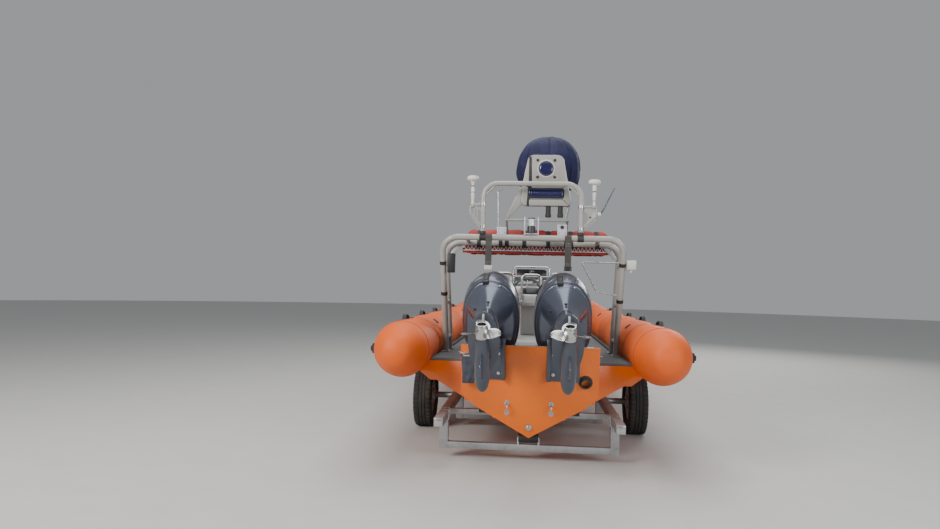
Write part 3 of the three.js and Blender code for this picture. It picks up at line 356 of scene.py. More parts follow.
def dressed(node, finish, body=hull_body, edge=0.004, angle=38, flatten=True):
    bench = bmesh.new()
    bench.from_mesh(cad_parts[node].data)
    bmesh.ops.remove_doubles(bench, verts=bench.verts, dist=1e-5)
    if flatten:
        bmesh.ops.dissolve_limit(bench, angle_limit=math.radians(0.5), verts=bench.verts,
                                 edges=bench.edges)
    soften(bench, edge, 2, 34)
    return piece(bench, node + "_skin", finish, body, angle, node)


print("pieces ready")

# %% [markdown]
# Finishes. Real paint, rubber and fabric are never one flat colour, so the shared effects
# come first as node groups: weathering mixes a stain into a base colour in soft patches,
# scuffs gives fine scratches, weave gives crossed threads, and pebble a fine grain.


# %% Shared effects
def group(name, inputs, outputs):
    kinds = {tuple: "NodeSocketColor", float: "NodeSocketFloat"}
    tree = bpy.data.node_groups.new(name, "ShaderNodeTree")
    for label, value in inputs.items():
        kind = kinds[type(value)]
        tree.interface.new_socket(label, in_out="INPUT", socket_type=kind).default_value = value
    for label in outputs:
        kind = kinds[tuple if label == "Colour" else float]
        tree.interface.new_socket(label, in_out="OUTPUT", socket_type=kind)
    given, out = tree.nodes.new("NodeGroupInput"), tree.nodes.new("NodeGroupOutput")
    return tree, given.outputs, out.inputs


def feed(tree, socket, value):
    # a value is either another node's output or a constant
    if hasattr(value, "is_linked"):
        tree.links.new(value, socket)
    else:
        socket.default_value = value


def shader_node(tree, kind, **settings):
    made = tree.nodes.new("ShaderNode" + kind)
    for key, value in settings.items():
        if key[0].isupper():
            feed(tree, made.inputs[key.replace("_", " ")], value)
        else:
            setattr(made, key, value)
    return made


def object_place(tree):
    return shader_node(tree, "TexCoord").outputs["Object"]


def noise_node(tree, vector, **settings):
    return shader_node(tree, "TexNoise", Vector=vector, **settings).outputs["Fac"]


def math_node(tree, operation, first, second):
    made = shader_node(tree, "Math", operation=operation)
    for socket, value in zip(made.inputs, (first, second)):
        feed(tree, socket, value)
    return made.outputs[0]


def mixed(tree, factor, first, second):
    made = shader_node(tree, "Mix", data_type="RGBA")
    for index, value in ((0, factor), (6, first), (7, second)):
        feed(tree, made.inputs[index], value)
    return made.outputs[2]


def make_weathering():
    inputs = {"Colour": (0.5, 0.5, 0.5, 1), "Stain": (0.2, 0.2, 0.2, 1), "Amount": 0.4,
              "Scale": 3.0}
    tree, given, out = group("weathering", inputs, ["Colour", "Mask"])
    place = object_place(tree)
    broad = noise_node(tree, place, Detail=6, Roughness=0.62, Scale=given["Scale"])
    fine = noise_node(tree, place, Detail=3, Roughness=0.5, Scale=38)
    patch = shader_node(tree, "MapRange", Value=broad, From_Min=0.42, From_Max=0.72)
    specks = shader_node(tree, "MapRange", Value=fine, From_Min=0.3, From_Max=0.75, To_Min=0.55)
    mask = math_node(tree, "MULTIPLY", patch.outputs[0], specks.outputs[0])
    mask = math_node(tree, "MULTIPLY", mask, given["Amount"])
    feed(tree, out["Colour"], mixed(tree, mask, given["Colour"], given["Stain"]))
    feed(tree, out["Mask"], mask)
    return tree


def make_scuffs():
    tree, given, out = group("scuffs", {"Scale": 6.0, "Amount": 0.5}, ["Mask", "Height"])
    stretch = shader_node(tree, "Mapping", Vector=object_place(tree), Scale=(1, 9, 5))
    streak = noise_node(tree, stretch.outputs[0], Detail=9, Roughness=0.78, Distortion=0.6,
                        Scale=given["Scale"])
    narrow = shader_node(tree, "MapRange", Value=streak, From_Min=0.6, From_Max=0.68)
    mask = math_node(tree, "MULTIPLY", narrow.outputs[0], given["Amount"])
    feed(tree, out["Mask"], mask)
    feed(tree, out["Height"], math_node(tree, "MULTIPLY", mask, -1.0))
    return tree


def make_weave():
    tree, given, out = group("weave", {"Scale": 300.0}, ["Height"])
    place = object_place(tree)
    waves = [shader_node(tree, "TexWave", bands_direction=direction, Distortion=0.4, Vector=place,
                         Scale=given["Scale"]).outputs["Fac"] for direction in ("X", "Z")]
    feed(tree, out["Height"], math_node(tree, "MAXIMUM", *waves))
    return tree


def make_pebble():
    tree, given, out = group("pebble", {"Scale": 400.0}, ["Height"])
    cells = shader_node(tree, "TexVoronoi", feature="SMOOTH_F1", Vector=object_place(tree),
                        Scale=given["Scale"])
    feed(tree, out["Height"], cells.outputs["Distance"])
    return tree


effects = {"weathering": make_weathering(), "scuffs": make_scuffs(), "weave": make_weave(),
           "pebble": make_pebble()}
print("effects", sorted(effects))

# %% [markdown]
# One row of the table makes one finish: its base colour and stain, how rough and metallic
# it is, how strong the patches and scratches are, and which grain lifts the surface. The
# Principled shader stays in each material, with its constant values on its own sockets.

# %% Finishes
finish_table = [
    # name, colour, stain,
    # rough, metal, patches, patch size, scuffs, grain, grain size, depth, coat
    ("hull_gelcoat", (0.79, 0.148, 0.002), (0.45, 0.085, 0.008),
     0.26, 0, 0.45, 2.2, 0.35, "", 0, 0, 0.2),
    ("collar_fabric", (0.74, 0.108, 0.0015), (0.45, 0.068, 0.006),
     0.56, 0, 0.4, 2.6, 0.25, "weave", 420, 0.12, 0),
    ("collar_patch", (0.6, 0.08, 0.01), (0.3, 0.05, 0.02),
     0.62, 0, 0.4, 6, 0.2, "weave", 420, 0.15, 0),
    ("black_rubber", (0.018, 0.018, 0.019), (0.075, 0.072, 0.066),
     0.62, 0, 0.5, 5, 0.3, "pebble", 260, 0.1, 0),
    ("deck_grip", (0.115, 0.122, 0.125), (0.21, 0.2, 0.18),
     0.86, 0, 0.5, 3, 0.15, "pebble", 190, 0.5, 0),
    ("grey_paint", (0.345, 0.337, 0.312), (0.2, 0.19, 0.17),
     0.3, 0, 0.35, 5, 0.28, "pebble", 700, 0.03, 0.2),
    ("grey_plate", (0.325, 0.317, 0.29), (0.2, 0.19, 0.165),
     0.38, 0, 0.45, 7, 0.2, "pebble", 500, 0.05, 0.1),
    ("lilac_plate", (0.52, 0.49, 0.56), (0.33, 0.31, 0.34), 0.34, 0, 0.35, 9, 0.2, "", 0, 0, 0.1),
    ("engine_paint", (0.098, 0.11, 0.148), (0.045, 0.05, 0.06),
     0.27, 0.6, 0.3, 3, 0.22, "pebble", 1600, 0.01, 0.4),
    ("engine_black", (0.01, 0.011, 0.012), (0.04, 0.04, 0.04),
     0.5, 0, 0.4, 9, 0.2, "pebble", 600, 0.06, 0),
    ("casting_grey", (0.072, 0.082, 0.106), (0.11, 0.11, 0.11),
     0.34, 0.5, 0.4, 7, 0.3, "pebble", 500, 0.05, 0.2),
    ("stainless", (0.55, 0.55, 0.54), (0.32, 0.3, 0.27), 0.24, 1.0, 0.4, 9, 0.35, "", 0, 0, 0),
    ("anode_zinc", (0.42, 0.42, 0.43), (0.62, 0.62, 0.6),
     0.7, 0.5, 0.8, 30, 0.2, "pebble", 300, 0.3, 0),
    ("galvanised", (0.4, 0.41, 0.42), (0.24, 0.235, 0.22),
     0.48, 0.75, 0.75, 11, 0.3, "pebble", 90, 0.06, 0),
    ("tyre_rubber", (0.02, 0.02, 0.02), (0.1, 0.088, 0.07),
     0.8, 0, 0.6, 7, 0.2, "pebble", 240, 0.2, 0),
    # the bag's red is darkened below the cloth's own colour: painted shade
    ("bag_red_with_painted_shade", (0.33, 0.02, 0.015), (0.14, 0.014, 0.011),
     0.66, 0, 0.55, 7, 0.15, "weave", 480, 0.18, 0),
    # the cover's blue is darkened nearly to black, below the cloth's own navy: painted shade
    ("cover_navy_with_painted_shade", (0.004, 0.005, 0.052), (0.002, 0.003, 0.015),
     0.7, 0, 0.6, 5, 0.12, "weave", 420, 0.25, 0),
    ("webbing_black", (0.025, 0.024, 0.026), (0.11, 0.1, 0.09),
     0.82, 0, 0.4, 12, 0.2, "weave", 620, 0.5, 0),
    ("trunk_cloth", (0.06, 0.068, 0.092), (0.016, 0.018, 0.026),
     0.6, 0, 0.9, 16, 0.4, "weave", 420, 0.25, 0),
    ("webbing_grey", (0.055, 0.051, 0.047), (0.1, 0.09, 0.08),
     0.86, 0, 0.5, 12, 0.2, "weave", 560, 0.5, 0),
    ("aerial_white", (0.72, 0.71, 0.67), (0.45, 0.42, 0.36),
     0.35, 0, 0.45, 14, 0.2, "", 0, 0, 0.15),
    # the lens blue is darkened below the glass's own tint: painted shade
    ("lens_blue_with_painted_shade", (0.005, 0.005, 0.066), (0.002, 0.003, 0.022),
     0.12, 0, 0.3, 20, 0.1, "", 0, 0, 0.8),
    ("console_paint", (0.42, 0.425, 0.42), (0.26, 0.25, 0.23),
     0.36, 0, 0.4, 4, 0.25, "pebble", 420, 0.05, 0.1),
    ("panel_black", (0.022, 0.023, 0.025), (0.05, 0.05, 0.05),
     0.4, 0, 0.3, 9, 0.2, "pebble", 700, 0.08, 0),
    ("screen_dark", (0.006, 0.008, 0.011), (0.02, 0.022, 0.025),
     0.07, 0, 0.4, 6, 0.15, "", 0, 0, 0.6),
    ("seat_vinyl", (0.035, 0.037, 0.042), (0.085, 0.08, 0.075),
     0.55, 0, 0.4, 8, 0.2, "pebble", 380, 0.16, 0),
    ("buckle_pale", (0.6, 0.6, 0.56), (0.35, 0.34, 0.32), 0.4, 0, 0.4, 20, 0.2, "", 0, 0, 0),
    ("tape_silver", (0.58, 0.6, 0.6), (0.42, 0.43, 0.43),
     0.3, 0.3, 0.4, 9, 0.3, "weave", 260, 0.2, 0),
    ("light_clear", (0.62, 0.7, 0.68), (0.4, 0.44, 0.42), 0.1, 0, 0.3, 20, 0.1, "", 0, 0, 0.6),
    ("navigation_green", (0.02, 0.3, 0.12), (0.01, 0.14, 0.05),
     0.12, 0, 0.3, 20, 0.1, "", 0, 0, 0.6),
    ("navigation_red", (0.42, 0.02, 0.015), (0.2, 0.01, 0.01),
     0.12, 0, 0.3, 20, 0.1, "", 0, 0, 0.6),
]


def make_finish(name, colour, stain, rough, metal, patches, size, scuffed, grain, grain_size,
                depth, coat):
    material = bpy.data.materials.new(name)
    material.use_nodes = True
    tree = material.node_tree
    worn = shader_node(tree, "Group", node_tree=effects["weathering"], Colour=(*colour, 1),
                       Stain=(*stain, 1), Amount=patches, Scale=size).outputs
    scratch = shader_node(tree, "Group", node_tree=effects["scuffs"], Scale=4,
                          Amount=scuffed).outputs
    pale = tuple(min(1.0, c * 0.6 + 0.18) for c in colour)
    paler = math_node(tree, "MULTIPLY", scratch["Mask"], 0.4)
    rise = math_node(tree, "MULTIPLY", worn["Mask"], 0.28)
    rise = math_node(tree, "ADD", rise, math_node(tree, "MULTIPLY", scratch["Mask"], 0.22))
    height = math_node(tree, "MULTIPLY", scratch["Height"], 0.15)
    if grain:
        grains = shader_node(tree, "Group", node_tree=effects[grain], Scale=grain_size)
        height = math_node(tree, "ADD", height, grains.outputs["Height"])
    bump = shader_node(tree, "Bump", Strength=max(depth, 0.04), Distance=0.002, Height=height)
    for label, value in (
        ("Metallic", metal), ("Coat Weight", coat), ("Coat Roughness", 0.12),
        ("Base Color", mixed(tree, paler, worn["Colour"], (*pale, 1))),
        ("Roughness", math_node(tree, "ADD", rise, rough)), ("Normal", bump.outputs[0]),
    ):
        feed(tree, tree.nodes["Principled BSDF"].inputs[label], value)
    return material


finishes = {row[0]: make_finish(*row) for row in finish_table}
print("finishes", len(finishes))

# %% [markdown]
# The collar. A real one is a row of air chambers in coated fabric, with glued bands over
# the seams, a thick rubber strake where it rubs on quays, patches with webbing handles,
# and blunt cones at the stern. The skin is one swept ring on each side, narrowed at the
# stern, with the same centre line as the solids.

# %% Collar
collar = {"x": 1.15, "z": 1.06, "r": 0.25, "stern": -0.12, "cone": 0.33,
          "bow_start": 4.5, "bow_length": 3.1, "rise": 0.45, "seam": 50}


def collar_line(degrees, sign=1):
    across, ahead = polar(1, math.radians(degrees))
    return at(sign * collar["x"] * across, collar["bow_start"] + collar["bow_length"] * ahead,
              collar["z"] + collar["rise"] * ahead ** 2)


def beside(sign, y):
    return at(sign * collar["x"], y, collar["z"])


cone_table = [(0.34, 1.0), (0.56, 0.85), (0.78, 0.6), (0.93, 0.3)]
for side, sign in SIDES:
    path = [beside(sign, collar["stern"] - collar["cone"] * back) for _, back in cone_table]
    path += [beside(sign, y) for y in (collar["stern"], 1.5, 3.0)]
    path += [collar_line(d, sign) for d in range(0, collar["seam"] + 1, 5)]
    scales = [scale for scale, _ in cone_table] + [1.0] * (len(path) - len(cone_table))
    bench = bmesh.new()
    sweep(bench, ring_of(collar["r"], 48), path, scales=scales)
    piece(bench, f"collar_{side}", "collar_fabric", instead_of=f"tube_{side}", angle=60)
bench = bmesh.new()
bow_path = [collar_line(d) for d in range(collar["seam"], 90, 4)] + [collar_line(90)]
bow_path += [collar_line(d, -1) for d in range(86, collar["seam"] - 1, -4)]
sweep(bench, ring_of(collar["r"], 48), bow_path)
piece(bench, "collar_bow", "collar_fabric", instead_of="tube_bow", angle=60)
print("collar length", round(sum((b - a).length for a, b in zip(bow_path, bow_path[1:])), 2))

# %% [markdown]
# The strake, the seam bands and the handles lie on the collar, so they are swept along the
# same line with their own sections. A section's first coordinate points to port of the
# direction of travel, which is inboard on a line that runs from the starboard stern round
# the bow.


# %% Strake, seam bands and handles
def strake_section(outward):
    reach = collar["r"] - 0.003
    half = [(0, -0.045), (0.016, -0.04), (0.016, -0.026), (0.03, -0.02)]
    return [(outward * (reach + x), z) for x, z in there_and_back(half)]


whole_line = [beside(1, y) for y in (-0.15, 1.5, 3.0)]
whole_line += [collar_line(d) for d in range(0, 90, 4)] + [collar_line(90)]
whole_line += [collar_line(d, -1) for d in range(88, -1, -4)]
whole_line += [beside(-1, y) for y in (3.0, 1.5, -0.15)]
bench = bmesh.new()
sweep(bench, strake_section(-1), whole_line)
piece(bench, "rubbing_strake", "black_rubber", angle=25)

bench = bmesh.new()
seam_ring = ring_of(collar["r"] + 0.0015, 48)
for sign in (-1, 1):
    for y in (0.55, 1.75, 2.95, 4.15):
        sweep(bench, seam_ring, [beside(sign, y + dy) for dy in (0, 0.045)])
    for degrees in (16, 33, collar["seam"] - 0.6, 68):
        sweep(bench, seam_ring, [collar_line(degrees, sign), collar_line(degrees + 1.2, sign)])
    ends = [beside(sign, y) for y in (-0.125, -0.09)]
    sweep(bench, ring_of(collar["r"] + 0.002, 48), ends)
piece(bench, "seam_bands", "collar_patch", angle=60)


def off_collar(sign, degrees):
    out, up = polar(1, math.radians(degrees))
    return Vector((sign * out, 0, up))


def on_collar(y, sign, degrees, lift=0.0):
    return beside(sign, y) + off_collar(sign, degrees) * (collar["r"] + lift)


handle_turn, cap_turn = 78, 128
handle_arch = [(-0.1, 0.003), (-0.07, 0.03), (0, 0.045), (0.07, 0.03), (0.1, 0.003)]
bench, patches, tape = benches(3)
for sign in (-1, 1):
    for y in (0.35, 1.35, 2.35, 3.35, 4.25):
        arch_line = [on_collar(y + dy, sign, handle_turn, lift) for dy, lift in handle_arch]
        sweep(bench, strip(0.019, 0.002), arch_line)
        for dy in (-0.115, 0.115):
            turned(patches, disc(0.058, 0.056, 0.0035, 0.005),
                   on_collar(y + dy, sign, handle_turn, -0.001), off_collar(sign, handle_turn))
    for y in (0.95, 3.85):
        turned(patches, [(0, 0), (0.036, 0), (0.034, 0.008), (0.014, 0.012), (0, 0.012)],
               on_collar(y, sign, cap_turn, -0.001), off_collar(sign, cap_turn))
    for y in (0.24, 2.1, 4.0):
        arc = [on_collar(y, sign, d, 0.0012) for d in range(22, 62, 4)]
        sweep(tape, strip(0.0006, 0.15), arc, upright=AHEAD)
piece(bench, "collar_handles", "webbing_black")
piece(patches, "collar_patches", "black_rubber")
piece(tape, "reflective_patches", "tape_silver")
print("collar trim done")

# %% [markdown]
# The hull is a moulding, so its corners have a small radius. A copy of the solid is merged
# and its sharp edges are bevelled. Spray rails and a keel band follow the sections of the
# bottom, and the transom gets its capping, scuppers, drain and tow eyes.

# %% Hull
hull_rows = [
    # y, keel z, chine x, chine z
    (0.12, 0.26, 0.86, 0.76), (3.0, 0.26, 0.86, 0.765), (4.7, 0.275, 0.835, 0.785),
    (5.25, 0.32, 0.775, 0.835), (5.8, 0.41, 0.68, 0.9), (6.3, 0.545, 0.55, 0.98),
    (6.8, 0.78, 0.38, 1.085),
]
dressed("hull", "hull_gelcoat", edge=0.005, angle=40)
bench = bmesh.new()
for share, stop in ((0.36, 7), (0.66, 6)):
    for sign in (-1, 1):
        line = [at(sign * cx * share, max(y, 0.14), k + (cz - k) * share)
                for y, k, cx, cz in hull_rows[:stop]]
        rail = [(-0.028, 0.01), (0.028, 0.01), (0.024, -0.016), (-0.006, -0.012)]
        sweep(bench, [(-sign * x, z) for x, z in rail], line)
piece(bench, "spray_rails", "hull_gelcoat", angle=30)

bench = bmesh.new()
keel_line = [at(0, 2.0, 0.259)] + [at(0, y, keel - 0.001) for y, keel, _, _ in hull_rows[2:]]
sweep(bench, [(-0.018, 0.012), (0.018, 0.012), (0.016, -0.006), (-0.016, -0.006)], keel_line)
piece(bench, "keel_band", "stainless", angle=30)

off_transom = (0, -1, -0.2)


def transom_y(z):
    return 0.122 - 0.19 * (z - 0.18) / 0.93


def on_transom(x, z, out=0.0):
    return at(x, transom_y(z) - out, z)


bench, steel = benches(2)
turned(bench, [(0.04, 0), (0.062, 0), (0.062, 0.008), (0.044, 0.012), (0.044, 0.05),
               (0.036, 0.05), (0.036, 0.002), (0.04, 0)], on_transom(0.5, 0.8, 0.001), off_transom)
turned(steel, [(0, 0), (0.03, 0), (0.03, 0.006), (0.018, 0.01), (0.018, 0.022), (0, 0.022)],
       on_transom(0, 0.36, 0.002), off_transom, 24)
eye_low, eye_high, eye_out = 0.5, 0.58, 0.055
for sign in (-1, 1):
    x = sign * 0.2
    loop = [on_transom(x, eye_low), on_transom(x, eye_low, eye_out) + Vector((0, 0, 0.01)),
            on_transom(x, eye_high, eye_out) - Vector((0, 0, 0.01)), on_transom(x, eye_high)]
    pipe(steel, loop, 0.008, 0.018, ACROSS, 12)
    for z in (0.495, 0.585):
        turned(steel, disc(0.026, 0.024, 0.004, 0.005), on_transom(x, z), off_transom, 20)
block(steel, at(-0.565, -0.066, 1.1105), at(0.565, 0.004, 1.1145), 0.001)
piece(bench, "scuppers", "black_rubber")
piece(steel, "transom_fittings", "stainless")
print("hull dressed")

# %% [markdown]
# The roll frame. Two raked hoops of painted tube stand one behind the other, joined by
# short links. Each bend is a true arc, each joint has a weld bead, and each foot is a plate
# with four bolts. The solids have ten-sided tubes, so round ones stand for them.


# %% Fittings for tube work
def bead(bench, centre, axis, radius, thick=0.004):
    crown = thick * 0.7, thick * 0.8
    section = [(-0.002, -thick), (crown[0], -crown[1]), (thick, 0), crown, (-0.002, thick),
               (-0.002, -thick)]
    turned(bench, [(radius + r, h) for r, h in section], centre, axis, 20)


def bolt(bench, centre, axis, size=0.008, height=0.006):
    centre, axis = Vector(centre), Vector(axis).normalized()
    turned(bench, disc(size * 1.55, size * 1.5, size * 0.25, size * 0.25), centre, axis, 16)
    rod(bench, centre, centre + axis * height, size, size * 0.94, 6, 0.0008)


def foot_plate(bench, low, high, bolts):
    block(bench, low, high, 0.003)
    for x in (low.x + 0.014, high.x - 0.014):
        for y in (low.y + 0.016, high.y - 0.016):
            bolt(bolts, (x, y, high.z), UP, 0.006, 0.007)


print("tube fittings ready")

# %% Roll hoops
hoop = {"half": 0.876, "top": 2.113, "bend": 0.15, "rake": 0.33, "foot": 0.9774, "r": 0.03,
        "aft": 0.4, "forward": 0.73, "forward_top": 2.08, "deck": 0.9658, "splay": 0.026}
hoop_band = (hoop["r"] + 0.0002, 0.034)


def leg_point(sign, z, y=hoop["aft"]):
    share = 1 - (z - hoop["foot"]) / (hoop["top"] - hoop["foot"])
    return Vector((sign * (hoop["half"] - hoop["splay"] * share), y + hoop["rake"] * share, z))


tubes = dict(zip(("aft", "forward"), benches(2)))
bolts = bmesh.new()
for side, top in (("aft", hoop["top"]), ("forward", hoop["forward_top"])):
    y, tube = hoop[side], tubes[side]
    feet = {sign: at(*leg_point(sign, hoop["foot"], y)) for sign in (-1, 1)}
    corners = [feet[-1], at(-hoop["half"], y, top), at(hoop["half"], y, top), feet[1]]
    pipe(tube, corners, hoop["r"], hoop["bend"], AHEAD, 32)
    for foot in feet.values():
        base = Vector((foot.x, foot.y, hoop["deck"]))
        foot_plate(tube, base - Vector((0.045, 0.06, 0)), base + Vector((0.034, 0.06, 0.012)),
                   bolts)
        bead(tube, base + Vector((0, 0, 0.014)), (0, -0.29, 1), hoop["r"] + 0.001, 0.006)
link_r, links = 0.02, []
for sign in (-1, 1):
    for share in (0.12, 0.45, 0.8):
        z = hoop["foot"] + (hoop["top"] - hoop["foot"]) * share
        start, end = leg_point(sign, z), leg_point(sign, z, hoop["forward"])
        links.append((at(*start), at(end.x, end.y, z - 0.033 * share), (0.1, 0.9)))
for x in (-0.64, 0.64):
    links.append((at(x, hoop["aft"], hoop["top"]), at(x, hoop["forward"], hoop["forward_top"]),
                  (0.1,)))
for start, end, welds in links:
    along = end - start
    rod(tubes["forward"], start + along * 0.09, end, link_r, sides=24)
    for share in welds:
        bead(tubes["forward"], start + along * share, along, link_r)
gusset = [(0, 0), (0.045, 0.03), (0.14, 0.14), (0.1, 0.14), (0, 0.05)]
for sign in (-1, 1):
    spin = Matrix(((sign, 0, 0, 0), (0, 0, 1, 0), (0, 1, 0, 0), (0, 0, 0, 1)))
    place = at(sign * -0.846, hoop["forward"] + 0.005, hoop["forward_top"] - 0.17)
    plate(tubes["forward"], gusset, 0.006, Matrix.Translation(place) @ spin)
piece(tubes["aft"], "roll_hoop_tube", "grey_paint", angle=30, instead_of="roll_hoop_aft")
piece(tubes["forward"], "roll_hoop_inner_tube", "grey_paint", angle=30,
      instead_of="roll_hoop_forward")
piece(bolts, "hoop_foot_bolts", "stainless")
print("hoop width", 2 * hoop["half"])

# %% [markdown]
# On the aft hoop stand two small pale plates and a fork that holds the stern light, dark
# below and clear above. The hoop's legs carry a dark control box to port, a pale box to
# starboard, and a thin stay of bent rod. Rubber clamps show as dark bands round the tube.

# %% Fittings on the hoop
bench, dark, steel = benches(3)
on_top = hoop["top"] + hoop["r"]
star_plate_x = 0.284
for x, tall in ((-0.298, 0.074), (star_plate_x, 0.104)):
    block(bench, at(x - 0.045, 0.395, on_top - 0.004), at(x + 0.045, 0.405, on_top + tall), 0.003)
    block(bench, at(x - 0.045, 0.38, on_top - 0.004), at(x + 0.045, 0.396, on_top + 0.002), 0.001)
    for dz in (tall - 0.02, 0.022):
        for dx in (-0.028, 0.028):
            bolt(steel, at(x + dx, 0.395, on_top + dz), AFT, 0.004, 0.003)
turned(dark, [(0, -0.001), (0.019, -0.001), (0.018, 0.006), (0, 0.006)],
       at(star_plate_x, 0.396, on_top + 0.078), AFT, 28)
fork = at(-0.01, hoop["aft"], on_top)
for dx in (-0.065, 0.065):
    block_by(bench, fork, (dx - 0.006, -0.028, -0.004), (dx + 0.006, 0.028, 0.172), 0.003)
block_by(bench, fork, (-0.072, -0.028, 0.004), (0.072, 0.028, 0.014), 0.003)
piece(bench, "hoop_plates", "lilac_plate")

bench = bmesh.new()
port_z, star_z = 1.86, 1.87
port_leg, star_leg = at(*leg_point(-1, port_z)), at(*leg_point(1, star_z))
block_by(dark, port_leg, (0.046, -0.04, -0.095), (0.117, 0.04, 0.095), 0.006)
block_by(dark, port_leg, (0.054, -0.044, -0.08), (0.109, -0.039, 0.08), 0.003)
block_by(bench, star_leg, (0.038, -0.045, -0.046), (0.125, 0.045, 0.046), 0.008)
block_by(bench, star_leg, (0.046, -0.049, -0.036), (0.117, -0.044, 0.036), 0.003)
gland = [star_leg + Vector(move) for move in ((0.082, -0.02, -0.045), (0.076, -0.02, -0.075))]
rod(bench, *gland, 0.01, edge=0.002)
for leg, span in ((port_leg, 0.05), (star_leg, 0.045)):
    block_by(steel, leg, (-0.004, -0.012, -0.018), (span, 0.012, 0.018), 0.002)
for sign, z in ((-1, port_z), (1, star_z), (-1, 1.56), (1, 1.52)):
    middle, above = leg_point(sign, z), leg_point(sign, z + 0.02)
    clamp(dark, *hoop_band, 0.017, at(*middle), above - middle)
stay_bends = ((-0.02, 0, 0.02), (-0.39, 0, 0.02), (-0.24, 0.06, -0.26))
stay = [star_leg + Vector(move) for move in stay_bends]
stay.append(at(*leg_point(1, star_z - 0.3)))
stay[-1].x = star_leg.x - 0.015
pipe(steel, stay, 0.006, 0.012, AHEAD, 12)
piece(bench, "starboard_box", "buckle_pale")
piece(dark, "hoop_clamps_and_box", "engine_black")
piece(steel, "hoop_small_steel", "stainless")

glass, bench = benches(2)
light = at(-0.01, 0.4, 2.1572)
for cap in ([(0, 0), (0.04, 0), (0.04, 0.062), (0.036, 0.072), (0, 0.072)],
            [(0, 0.138), (0.034, 0.138), (0.036, 0.142), (0.034, 0.15), (0, 0.151)]):
    turned(bench, cap, light, sides=36)
for a in turns(4, 45):
    guard = [light + Vector((*polar(0.036, a), z)) for z in (0.03, 0.13)]
    rod(bench, *guard, 0.0022, sides=8)
ribs = [(0.0335 + 0.0012 * math.cos(i * math.pi), 0.0715 + i * 0.0048) for i in range(15)]
turned(glass, [(0, 0.0715), *ribs, (0, 0.1385)], light, sides=36)
piece(bench, "stern_light_body", "panel_black", instead_of="stern_light")
piece(glass, "stern_light_lens", "light_clear", angle=80)
print("hoop fittings done")

# %% [markdown]
# The mast hoop is a smaller hoop on black rubber pads. Two corner braces stiffen it, and
# bent outriggers carry a white mushroom aerial on each side. The starboard outrigger is
# filled with a plate that has a cut-out, the port one with crossed flat bars. A dark whip
# stands on a pale knob to starboard.

# %% Mast hoop and aerials
mast = {"x": -0.01, "half": 0.471, "y": 0.4, "top": 2.64, "r": 0.024}
left, right, top = mast["x"] - mast["half"], mast["x"] + mast["half"], mast["top"]
pad_z = on_top + 0.001


def on_mast(x, z, ahead=0.0):
    return at(x, mast["y"] + ahead, z)


bench, pads, steel = benches(3)
feet = [on_mast(x, pad_z + 0.028) for x in (left, right)]
pipe(bench, [feet[0], on_mast(left, top), on_mast(right, top), feet[1]], mast["r"], 0.14, AHEAD, 28)
for x, reach in ((left, 0.132), (right, -0.132)):
    rod(bench, on_mast(x, top - 0.136), on_mast(x + reach, top), 0.012, sides=16)
    turned(pads, [(0, 0), (0.03, 0), (0.03, 0.022), (0.026, 0.03), (0, 0.03)], on_mast(x, pad_z),
           sides=28)
    clamp(pads, *hoop_band, 0.03, on_mast(x, hoop["top"]), ACROSS)
    bead(bench, on_mast(x, pad_z + 0.031), UP, mast["r"], 0.003)
for arm, bend in (([(left, 2.434), (-0.606, 2.425), (-0.606, 2.345), (left, 2.21)], 0.03),
                  ([(right, 2.42), (0.604, 2.42), (0.604, 2.33), (right, 2.2)], 0.012)):
    pipe(bench, [on_mast(x, z) for x, z in arm], 0.011, bend, AHEAD, 16)
rod(bench, on_mast(0.604, 2.35), on_mast(0.618, 2.35), 0.014, edge=0.002)
bracket = [(0.466, 2.413), (0.601, 2.413), (0.603, 2.296), (0.5, 2.196), (0.474, 2.196),
           (0.474, 2.218), (0.518, 2.262), (0.524, 2.29), (0.528, 2.34), (0.514, 2.361),
           (0.466, 2.361)]
plate(bench, bracket, 0.006, facing_aft(0, mast["y"] + 0.003, 0), 0.0015)
# a flat black disc on the starboard plate stands for a hole, its dark inside painted shade
turned(pads, disc(0.01, 0.01, 0.0016, 0.0016), on_mast(0.548, 2.32, -0.0025), AFT, 20)
bars = [((-0.571, 2.414), (-0.571, 2.312), 0.014), ((-0.58, 2.409), (-0.49, 2.384), 0.018),
        ((-0.575, 2.398), (-0.494, 2.468), 0.015), ((-0.598, 2.33), (-0.497, 2.2), 0.022),
        ((-0.539, 2.395), (-0.539, 2.258), 0.01)]
for i, (start, end, wide) in enumerate(bars):
    sweep(bench, strip(wide / 2, 0.0024 + 0.0003 * i), [on_mast(*start), on_mast(*end)], AHEAD)
for x, low, high in ((-0.586, 2.405, 2.439), (0.584, 2.406, 2.434)):
    rod(bench, on_mast(x, low), on_mast(x, high), 0.019, sides=24, edge=0.003)
for x, z in ((left, 2.438), (left, 2.216), (right, 2.42), (right, 2.206)):
    clamp(steel, 0.0242, 0.0275, 0.014, on_mast(x, z))
    bolt(steel, on_mast(x, z, -0.0275), AFT, 0.005, 0.006)
piece(bench, "mast_hoop_tube", "grey_paint", angle=30, instead_of="mast_hoop")
piece(pads, "mast_pads_and_painted_hole", "black_rubber")
piece(steel, "mast_clamps", "stainless")

